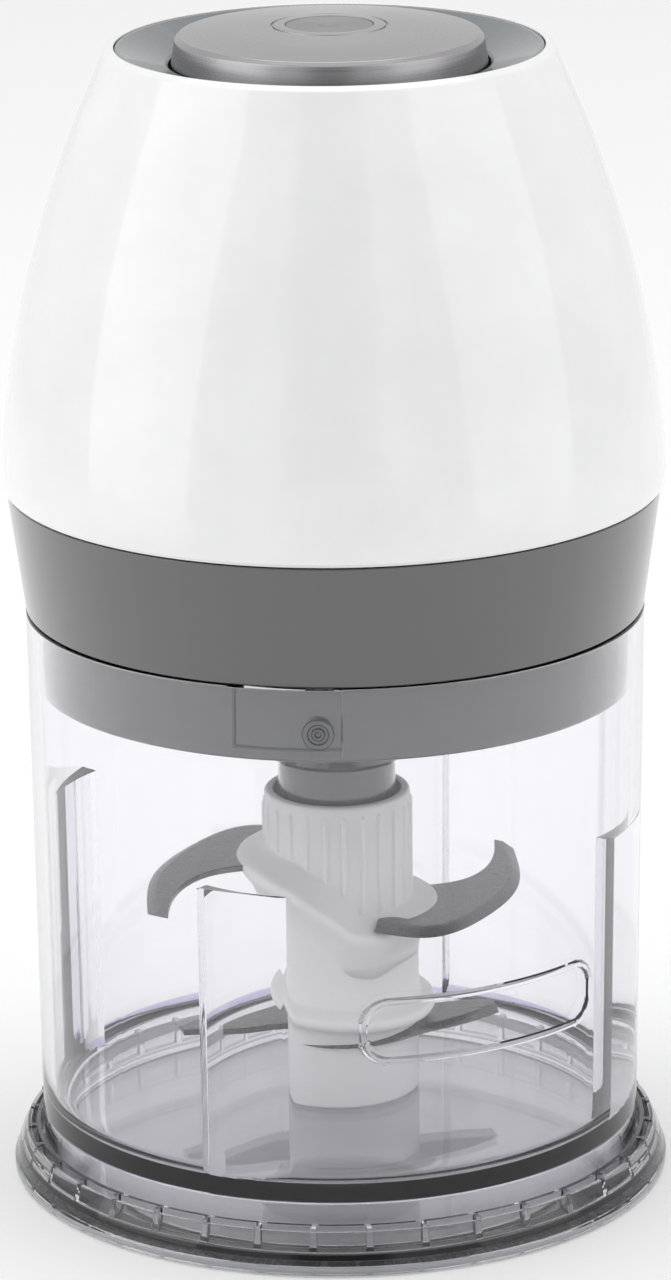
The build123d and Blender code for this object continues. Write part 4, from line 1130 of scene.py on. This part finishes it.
@dataclass
class BladeUnit:
    """White hub with a ribbed grip, two sloping collars, and two S-shaped blades."""

    grip_radius: float = 16.6
    tube_radius: float = 18.4
    ribs: int = 24
    rib_offset: float = 5.0
    rib_height: float = 0.65
    upper_heights: tuple[float, float] = (73.2, 62.5)
    lower_height: float = 34.0
    upper_cutting: tuple[Row, ...] = ((8.0, -20.8), (19.8, -25.0), (33.2, -11.8), (41.9, 10.5), (42.0, 37.3))
    upper_back: tuple[Row, ...] = ((37.4, 40.4), (36.4, 27.0), (28.5, 11.5), (14.0, 7.0))
    lower_cutting: tuple[Row, ...] = (
        (-9.3, -15.9),
        (-3.0, -19.1),
        (5.0, -18.9),
        (13.0, -15.2),
        (20.0, -9.5),
        (28.0, -4.5),
        (37.0, 3.5),
    )
    lower_back: tuple[Row, ...] = ((35.5, 9.5), (27.5, 8.5), (20.0, 6.5), (10.0, 7.0))
    inner_line: tuple[Row, ...] = (
        (-130, 77.6),
        (-89, 77.6),
        (-36, 76.2),
        (-13.5, 72.6),
        (6.9, 68.0),
        (18, 63.6),
        (30, 63.4),
        (60, 63.9),
        (89, 64.0),
        (150, 64.0),
        (178, 68.0),
        (205, 75.0),
        (230, 77.6),
    )
    outer_line: tuple[Row, ...] = (
        (-130, 74.4),
        (-76, 74.4),
        (-50, 73.6),
        (-26, 70.9),
        (-2.5, 65.4),
        (8, 61.6),
        (27, 60.4),
        (45.7, 62.6),
        (76, 62.9),
        (150, 62.9),
        (178, 66.5),
        (205, 72.5),
        (230, 74.4),
    )

    def level(self, line: tuple[Row, ...], azimuth: np.ndarray) -> np.ndarray:
        """Height of a collar line at each azimuth, smoothed."""
        at, value = np.array(line, float).T
        fine = np.arange(0, 360, 0.5)
        raw = np.interp(fine, at % 360, value, period=360)
        reach = np.arange(-24, 25)
        kernel = np.exp(-((reach / 7.0) ** 2))
        smooth = np.convolve(np.concatenate([raw[-24:], raw, raw[:24]]), kernel / kernel.sum(), "valid")
        return np.interp(azimuth % 360, fine, smooth, period=360)

    def hub(self) -> bpy.types.Object:
        """Hub as one skin from the pin bore, over the outside, into the drive cup."""
        low, high, _ = span("blade_hub")
        azimuth = turn_table(0.5)
        inner = self.level(self.inner_line, azimuth)
        outer = self.level(self.outer_line, azimuth)
        tilt = tan(radians(4.5))
        slope = 40.2 - 22.2 * tilt * np.sin(np.radians(azimuth) - radians(-20 + 0))
        rows: list[tuple[np.ndarray, np.ndarray, float]] = []

        def add(radius: object, height: object, ribbed: float = 0.0) -> None:
            """Append one row of the skin."""
            rows.append((np.zeros_like(azimuth) + radius, np.zeros_like(azimuth) + height, ribbed))

        for radius, height in rounded(
            [
                (0, 71), (3.1, 71), (3.1, 24.6), (6.2, 24.6, 0.3), (6.2, 30), (16.2, 30, 0.5),
                (16.2, low, 0.25), (self.tube_radius, low, 0.5), (self.tube_radius, low + 3)
            ]
        ):
            add(radius, height)
        add(self.tube_radius, 27)
        for radius, rise in (
            (0.0, -4.6), (0.25, -3.4), (1.1, -2.4), (2.5, -1.8), (3.3, -1.3), (3.75, -0.5), (3.8, 0.2),
            (3.6, 0.9), (3.0, 1.4), (1.6, 1.8), (0.5, 2.3), (0.05, 3.2)
        ):
            add(self.tube_radius + radius, slope + rise)
        add(self.tube_radius, 48)
        add(self.tube_radius, 52)
        for radius, rise in (
            (0.0, -11.5), (0.35, -9.4), (1.2, -7.0), (2.6, -4.9), (3.8, -3.3), (4.5, -2.2), (4.8, -1.1),
            (4.75, -0.3), (4.4, 0.3), (3.7, 0.75)
        ):
            add(self.tube_radius + radius, outer + rise)
        lip = self.tube_radius + 3.7
        for share in (0.25, 0.5, 0.75):
            add(
                lip + (self.grip_radius + 0.9 - lip) * share,
                outer + 0.75 + (inner - outer - 0.95) * (share + 0.25 * share * (share - 1))
            )
        add(self.grip_radius + 0.5, inner - 0.05)
        add(self.grip_radius + 0.15, inner + 0.35)
        add(self.grip_radius, inner + 0.9, 1.0)
        for share in (0.15, 0.3, 0.5, 0.7, 0.85):
            add(self.grip_radius, inner + 0.9 + (high - 4.2 - inner) * share, 1.0)
        for drop, ribbed in ((3.3, 1.0), (3.0, 0.9), (2.7, 0.6), (2.4, 0.2), (2.1, 0.0)):
            add(self.grip_radius, high - drop, ribbed)
        for radius, height in rounded(
            [
                (self.grip_radius, high - 1.6), (self.grip_radius, high, 0.9), (14.6, high, 0.35),
                (14.4, 80.0, 0.5), (4, 80.0), (0, 80.0)
            ]
        ):
            add(radius, height)
        pitch = 360 / self.ribs
        off = np.abs(around(azimuth * self.ribs, self.rib_offset * self.ribs)) / self.ribs
        ridge = step_up(off, 2.3, 0.9)
        radius = np.array([r + self.rib_height * k * ridge for r, _, k in rows])
        height = np.array([h for _, h, _ in rows])
        assert off.max() <= pitch
        return skin("blade_hub_moulding", ring_grid(radius, height, azimuth), sharp=50)

    def blades(self) -> tuple[bpy.types.Object, bpy.types.Object]:
        """Both S-shaped blades, each with its two wings."""
        upper, lower = list(self.upper_cutting), list(self.lower_cutting)
        left, right = self.upper_heights
        high = joined(
            "upper_blade_ground",
            [
                Wing(upper, list(self.upper_back), right).mesh("wing_a"),
                Wing(upper, list(self.upper_back), left, turned=True).mesh("wing_b"),
            ],
        )
        low = joined(
            "lower_blade_ground",
            [
                Wing(lower, list(self.lower_back), self.lower_height, bevel=3.0).mesh("wing_c"),
                Wing(lower, list(self.lower_back), self.lower_height, turned=True, bevel=3.0).mesh("wing_d"),
            ],
        )
        return high, low

    def build(self, shop: Workshop) -> None:
        """Make and fit the hub and the blades."""
        shop.fit(self.hub(), "white_hub", "blade_unit", "blade_hub")
        high, low = self.blades()
        shop.fit(high, "blade_steel", "blade_unit", "upper_blade")
        shop.fit(low, "blade_steel", "blade_unit", "lower_blade")


# ---- motor unit -----------------------------------------------------------------------------------
@dataclass
class LowerCover:
    """Grey plug that closes the bowl, with its neck and three bayonet lugs."""

    skirt_radius: float = 66.3
    floor: float = 116.8
    boss_radius: float = 17.7
    neck_radius: float = 13.4
    lug_azimuth: float = -3.3
    lug_height: float = 123.6
    lug_radius: float = 3.5
    lug_tip: float = 68.2

    def lug(self, turn: float) -> bpy.types.Object:
        """One bayonet lug with its moulded rings, standing out at an azimuth."""
        start, tip = self.skirt_radius - 0.8, self.lug_tip
        profile = rounded(
            [
                (0, start),
                (self.lug_radius, start),
                (self.lug_radius, tip, 0.35),
                (2.35, tip, 0.2),
                (2.15, tip - 0.7, 0.15),
                (1.5, tip - 0.7, 0.15),
                (1.3, tip - 0.15, 0.2),
                (0.75, tip - 0.15, 0.2),
                (0.55, tip - 0.8, 0.1),
                (0, tip - 0.8),
            ]
        )
        made = lathe(f"lug_{turn:.0f}", profile, 64)
        angle = radians(self.lug_azimuth + turn)
        out = Vector((sin(angle), -cos(angle), 0))
        up = Vector((0, 0, 1))
        side = up.cross(out)
        matrix = Matrix((side, up, out)).transposed().to_4x4()
        matrix.translation = Vector((0, 0, self.lug_height * MM))
        return placed(made, matrix)

    def body(self) -> bpy.types.Object:
        """Skirt, floor, boss and neck as one turned skin, joined with the lugs."""
        low, high, _ = span("lower_cover")
        inner = self.skirt_radius - 2.4
        profile = rounded(
            [
                (8.5, 104.0),
                (8.5, low, 0.3),
                (self.neck_radius, low, 0.8),
                (self.neck_radius, 98.0, 0.4),
                (15.1, 98.0, 0.4),
                (16.7, 99.4, 0.6),
                (self.boss_radius, 102.0, 0.8),
                (self.boss_radius, self.floor, 0.6),
                (self.skirt_radius, self.floor, 0.8),
                (self.skirt_radius, high, 0.2),
                (inner, high, 0.2),
                (inner, self.floor + 2.4, 0.5),
                (12, self.floor + 2.4),
                (12, 104.0),
                (8.5, 104.0),
            ]
        )
        parts = [lathe("plug", profile[:-1])]
        parts += [self.lug(360 / 3 * lock) for lock in range(3)]
        return joined("lower_cover_plug", parts)

    def build(self, shop: Workshop) -> None:
        """Make and fit the plug."""
        shop.fit(self.body(), "light_grey", "motor_unit", "lower_cover")


@dataclass
class Housing:
    """Grey collar, glossy shell, dark dish in its mouth, and the cord gland at the back."""

    shell_fit: tuple[Row, ...] = (
        (74.75, 166.0),
        (73.8, 178.0),
        (72.15, 190.0),
        (69.15, 205.0),
        (65.2, 220.0),
        (60.3, 235.0),
        (56.1, 246.0),
        (52.66, 254.0),
        (50.6, 259.0),
    )
    gland_height: float = 185.0

    def collar(self) -> bpy.types.Object:
        """Conical collar with a shadow step under the shell's lip."""
        profile = rounded(
            [
                (66.4, 137.0),
                (66.4, 134.4, 0.2),
                (69.8, 134.4, 0.5),
                (73.55, 162.0, 0.25),
                (72.2, 162.2, 0.15),
                (72.2, 166.2, 0.3),
                (71.0, 166.2, 0.3),
                (71.0, 162.2),
                (67.6, 137.0),
                (66.4, 137.0),
            ]
        )
        return lathe("grey_collar", profile[:-1], 360)

    def shell(self) -> bpy.types.Object:
        """Glossy dome with a hole for the gland."""
        dome = [tuple(p) for p in spline_through(list(self.shell_fit), 72)]
        lip = rounded(
            [
                (72.3, 164.0), (72.3, 162.9, 0.2), (73.0, 162.4, 0.2), (73.75, 162.4, 0.5),
                (74.5, 163.3, 0.5), (74.75, 166.0)
            ]
        )
        mouth = rounded(
            [
                (50.6, 259.0),
                (49.9, 260.7, 0.9),
                (48.3, 261.7, 0.9),
                (47.6, 261.4, 0.15),
                (47.6, 256.8, 0.1),
                (43.8, 256.8, 0.2),
                (43.8, 254.3, 0.2),
                (48.9, 254.3),
            ]
        )
        inside = [
            tuple(p) for p in spline_through(
                [(48.9, 254.3), (57.7, 234.0), (66.4, 204.6), (71.1, 178.0), (72.2, 168.5)], 24
            )
        ]
        profile = lip + dome[1:] + mouth[1:] + inside[1:]
        made = lathe("white_shell", profile, 384)
        cutter = lathe("gland_hole", [(0, 60), (5.0, 60), (5.0, 80), (0, 80)], 64)
        placed(
            cutter,
            Matrix.Translation((0, 0, self.gland_height * MM)) @ Matrix.Rotation(radians(-90), 4, "X")
        )
        cut = made.modifiers.new("gland hole", "BOOLEAN")
        cut.object = cutter
        cut.operation = "DIFFERENCE"
        bpy.context.view_layer.update()
        mesh = bpy.data.meshes.new_from_object(made.evaluated_get(bpy.context.evaluated_depsgraph_get()))
        bpy.data.objects.remove(made)
        bpy.data.objects.remove(cutter)
        mesh.name = "white_shell"
        return from_mesh("white_shell", mesh, sharp=45)

    def gland(self) -> bpy.types.Object:
        """Rubber bush with a rounded flange round the cord's bore."""
        profile = rounded(
            [
                (3.6, 65.8),
                (3.6, 76.8, 0.7),
                (6.2, 76.8, 0.8),
                (7.0, 76.0, 0.5),
                (7.0, 74.6, 0.2),
                (4.9, 73.4),
                (4.9, 68.8),
                (6.6, 68.6, 0.3),
                (6.6, 65.6, 0.5),
                (3.6, 65.6, 0.3),
            ]
        )
        made = lathe("cord_gland_bush", profile, 96)
        turn = Matrix.Translation((0, 0, self.gland_height * MM)) @ Matrix.Rotation(radians(-90), 4, "X")
        return placed(made, turn)

    def dish(self) -> bpy.types.Object:
        """Dark dished ring with the button's sleeve."""
        profile = rounded(
            [
                (43.5, 256.8),
                (47.4, 256.8, 0.15),
                (47.4, 261.2, 0.35),
                (46.6, 261.2, 0.3),
                (36.2, 257.85, 0.4),
                (35.6, 257.3, 0.2),
                (35.6, 245.0, 0.2),
                (37.2, 245.0, 0.2),
                (37.2, 255.2, 0.6),
                (43.4, 255.8),
                (43.5, 256.8),
            ]
        )
        return lathe("dark_dish", profile[:-1])

    def build(self, shop: Workshop) -> None:
        """Make and fit the housing."""
        shop.fit(self.collar(), "mid_grey", "motor_unit", "collar")
        shop.fit(self.shell(), "white_gloss", "motor_unit", "motor_shell")
        shop.fit(self.gland(), "rubber", "motor_unit", "cord_gland")
        shop.fit(self.dish(), "dark_grey", "motor_unit", "dish_ring")


@dataclass
class PushButton:
    """Spun metal cap with an inlaid disc."""

    radius: float = 35.0
    gauge: float = 1.3
    crown: tuple[Row, ...] = ((33.3, 263.85), (25.0, 264.85), (16.5, 265.5), (8.0, 265.88), (0.0, 266.0))

    def cap(self) -> bpy.types.Object:
        """Domed cap with a rolled shoulder and an engraved ring."""
        low, _, _ = span("button_cap")
        top = spline_through(list(self.crown), 48)
        outside = rounded(
            [
                (self.radius - self.gauge, low),
                (self.radius, low, 0.2),
                (self.radius, 257.6, 0.8),
                (34.15, 262.9, 0.9),
                (33.3, 263.85, 0.5),
                (31.0, 264.15),
            ]
        )
        crown = [(r, z) for r, z in top if 12.9 > r > 9.9 or 30.8 > r > 13.3]
        at = dict(groove=float(np.interp(12.9, top[::-1, 0], top[::-1, 1])))
        groove = rounded(
            [
                (13.3, at["groove"] - 0.02),
                (13.0, at["groove"], 0.06),
                (12.9, at["groove"] - 0.35, 0.06),
                (12.5, at["groove"] - 0.35, 0.06),
                (12.4, at["groove"] + 0.02, 0.06),
                (12.1, at["groove"] + 0.03),
            ]
        )
        outer_crown = [p for p in crown if p[0] > 13.3]
        inner_crown = [p for p in crown if p[0] < 12.1]
        recess = rounded([(9.95, 265.8), (9.8, 265.8, 0.08), (9.8, 265.1, 0.08), (9.0, 265.1), (9.0, 264.6)])
        under = [(20, 264.1), (30.5, 262.9), (self.radius - self.gauge, 257.4)]
        profile = outside + outer_crown + groove + inner_crown + recess + under
        return lathe("button_spun_cap", profile, 360, sharp=30)

    def badge(self) -> bpy.types.Object:
        """Plain disc with a raised dot."""
        low, high, reach = span("button_badge")
        profile = rounded(
            [
                (0, low), (reach, low), (reach, high - 0.22, 0.2), (2.6, high - 0.12, 0.1),
                (2.3, high, 0.15), (0, high)
            ]
        )
        return lathe("button_inlay", profile, 192)

    def build(self, shop: Workshop) -> None:
        """Make and fit the cap and its inlay."""
        shop.fit(self.cap(), "button_metal", "button", "button_cap")
        shop.fit(self.badge(), "badge_metal", "button", "button_badge")


@dataclass
class Drive:
    """Motor, gearbox, switch and interlock, which keep the frame's own shapes."""

    replaced: tuple[str, ...] = (
        "base_disc",
        "nonslip_ring",
        "bowl",
        "blade_hub",
        "upper_blade",
        "lower_blade",
        "lower_cover",
        "collar",
        "motor_shell",
        "cord_gland",
        "dish_ring",
        "button_cap",
        "button_badge",
    )

    def build(self, shop: Workshop) -> None:
        """Dress every node that no new piece stands for, in the slot that the record gives it."""
        for subpart in frame["record"]["subparts"]:
            if subpart["node"] not in self.replaced:
                shop.dress(subpart["material_slot"], subpart["node"])


# ---- studio ---------------------------------------------------------------------------------------
@dataclass
class Studio:
    """Pale floor, soft lamps, a plain graded surround and the camera."""

    camera_place: tuple[float, float, float] = (0.0, -1.3054, 0.5145)
    pitch: float = 16.637
    roll: float = -0.58
    lens: float = 169.1
    front_light: float = 0.4
    left_light: float = 0.88
    right_light: float = 0.82
    back_light: float = 0.86
    top_light: float = 1.0
    gap: tuple[float, float] = (0.24, 0.34)

    def surround(self) -> None:
        """World that is bright behind and above, and dim on the camera's side."""
        world = bpy.data.worlds.new("studio surround")
        bpy.context.scene.world = world
        world.use_nodes = True
        world.node_tree.nodes.clear()
        graph = Graph(world.node_tree)
        way = graph.add("ShaderNodeTexCoord").outputs["Generated"]
        apart = graph.add("ShaderNodeSeparateXYZ", {0: way})
        ahead = graph.add("ShaderNodeMath", {0: apart.outputs[1], 1: -1.0}, operation="MULTIPLY")
        bearing = graph.add("ShaderNodeMath", {0: apart.outputs[0], 1: ahead.outputs[0]}, operation="ARCTAN2")
        off = graph.add("ShaderNodeMath", {0: bearing.outputs[0]}, operation="ABSOLUTE")
        sides = graph.stretch(apart.outputs[0], -0.5, 0.5, self.left_light, self.right_light)
        gap = graph.stretch(off.outputs[0], self.gap[0], self.gap[1], self.front_light, 1.0)
        front = graph.add("ShaderNodeMath", {0: sides, 1: gap}, operation="MULTIPLY")
        behind = graph.stretch(apart.outputs[1], 0.0, 0.5, 0.0, 1.0)
        shade = graph.blend(behind, front.outputs[0], rgba((self.back_light,) * 3))
        lift = graph.stretch(apart.outputs[2], 0.6, 0.9, 0.0, 1.0)
        shade = graph.blend(lift, shade, rgba((self.top_light,) * 3))
        back = graph.add("ShaderNodeBackground", {0: shade, 1: 1.0})
        graph.add("ShaderNodeOutputWorld", {0: back.outputs[0]})

    def floor(self) -> None:
        """Large pale floor with a faint paper tooth."""
        made = lathe("studio_floor", [(0, 0), (400, 0), (1200, 0), (6000, 0), (6000, -20), (0, -20)], 96)
        material, graph, shader, _ = new_material("pale paper")
        where = graph.add("ShaderNodeTexCoord").outputs["Object"]
        tooth = graph.add("ShaderNodeTexNoise", {"Vector": where, "Scale": 900.0, "Detail": 3.0})
        tone = graph.blend(tooth.outputs[0], (0.9, 0.9, 0.9, 1), (0.94, 0.94, 0.94, 1))
        graph.tree.links.new(tone, shader.inputs["Base Color"])
        shader.inputs["Roughness"].default_value = 0.8
        made.data.materials.append(material)

    def lamp(
        self, name: str, place: tuple[float, float, float], size: tuple[float, float], power: float
    ) -> None:
        """Rectangular soft lamp that looks at the middle of the object.

        Args:
            name: lamp name.
            place: where it stands, in metres.
            size: width and height in metres.
            power: watts.
        """
        light = bpy.data.lights.new(name, "AREA")
        light.shape = "RECTANGLE"
        light.size, light.size_y = size
        light.energy = power
        made = bpy.data.objects.new(name, light)
        made.location = place
        aim = Vector((0, 0, 0.13)) - Vector(place)
        made.rotation_euler = aim.to_track_quat("-Z", "Y").to_euler()
        bpy.context.scene.collection.objects.link(made)

    def camera(self) -> None:
        """Camera at its viewing angle, with the slight roll that leans the object."""
        data = bpy.data.cameras.new("view")
        data.lens = self.lens
        data.sensor_width = 36
        made = bpy.data.objects.new("view", data)
        pitch, roll = radians(self.pitch), radians(self.roll)
        ahead = Vector((0, cos(pitch), -sin(pitch)))
        level = Vector((1, 0, 0))
        up = level.cross(ahead)
        right = cos(roll) * level + sin(roll) * up
        matrix = Matrix((right, right.cross(ahead), -ahead)).transposed().to_4x4()
        matrix.translation = Vector(self.camera_place)
        made.matrix_world = matrix
        bpy.context.scene.collection.objects.link(made)
        bpy.context.scene.camera = made

    def build(self) -> None:
        """Set up the whole studio."""
        self.surround()
        self.floor()
        self.lamp("left softbox", (-0.95, -0.35, 0.55), (0.9, 1.3), 2.9)
        self.lamp("right softbox", (0.95, -0.4, 0.55), (0.9, 1.3), 2.2)
        self.lamp("top softbox", (0.0, 0.25, 1.5), (1.4, 1.0), 4)
        self.camera()
        bpy.context.scene.view_settings.view_transform = "Standard"


def main() -> None:
    """Build every sub-assembly in order and note the sizes."""
    logging.basicConfig(level=logging.INFO, format="%(name)s: %(message)s")
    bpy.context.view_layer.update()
    shop = Workshop()
    for assembly in (BaseDisc(), Bowl(), BladeUnit(), LowerCover(), Housing(), PushButton(), Drive()):
        LOG.info("building %s", type(assembly).__name__)
        assembly.build(shop)
    Studio().build()
    bpy.context.view_layer.update()


if __name__ == "__main__":
    main()
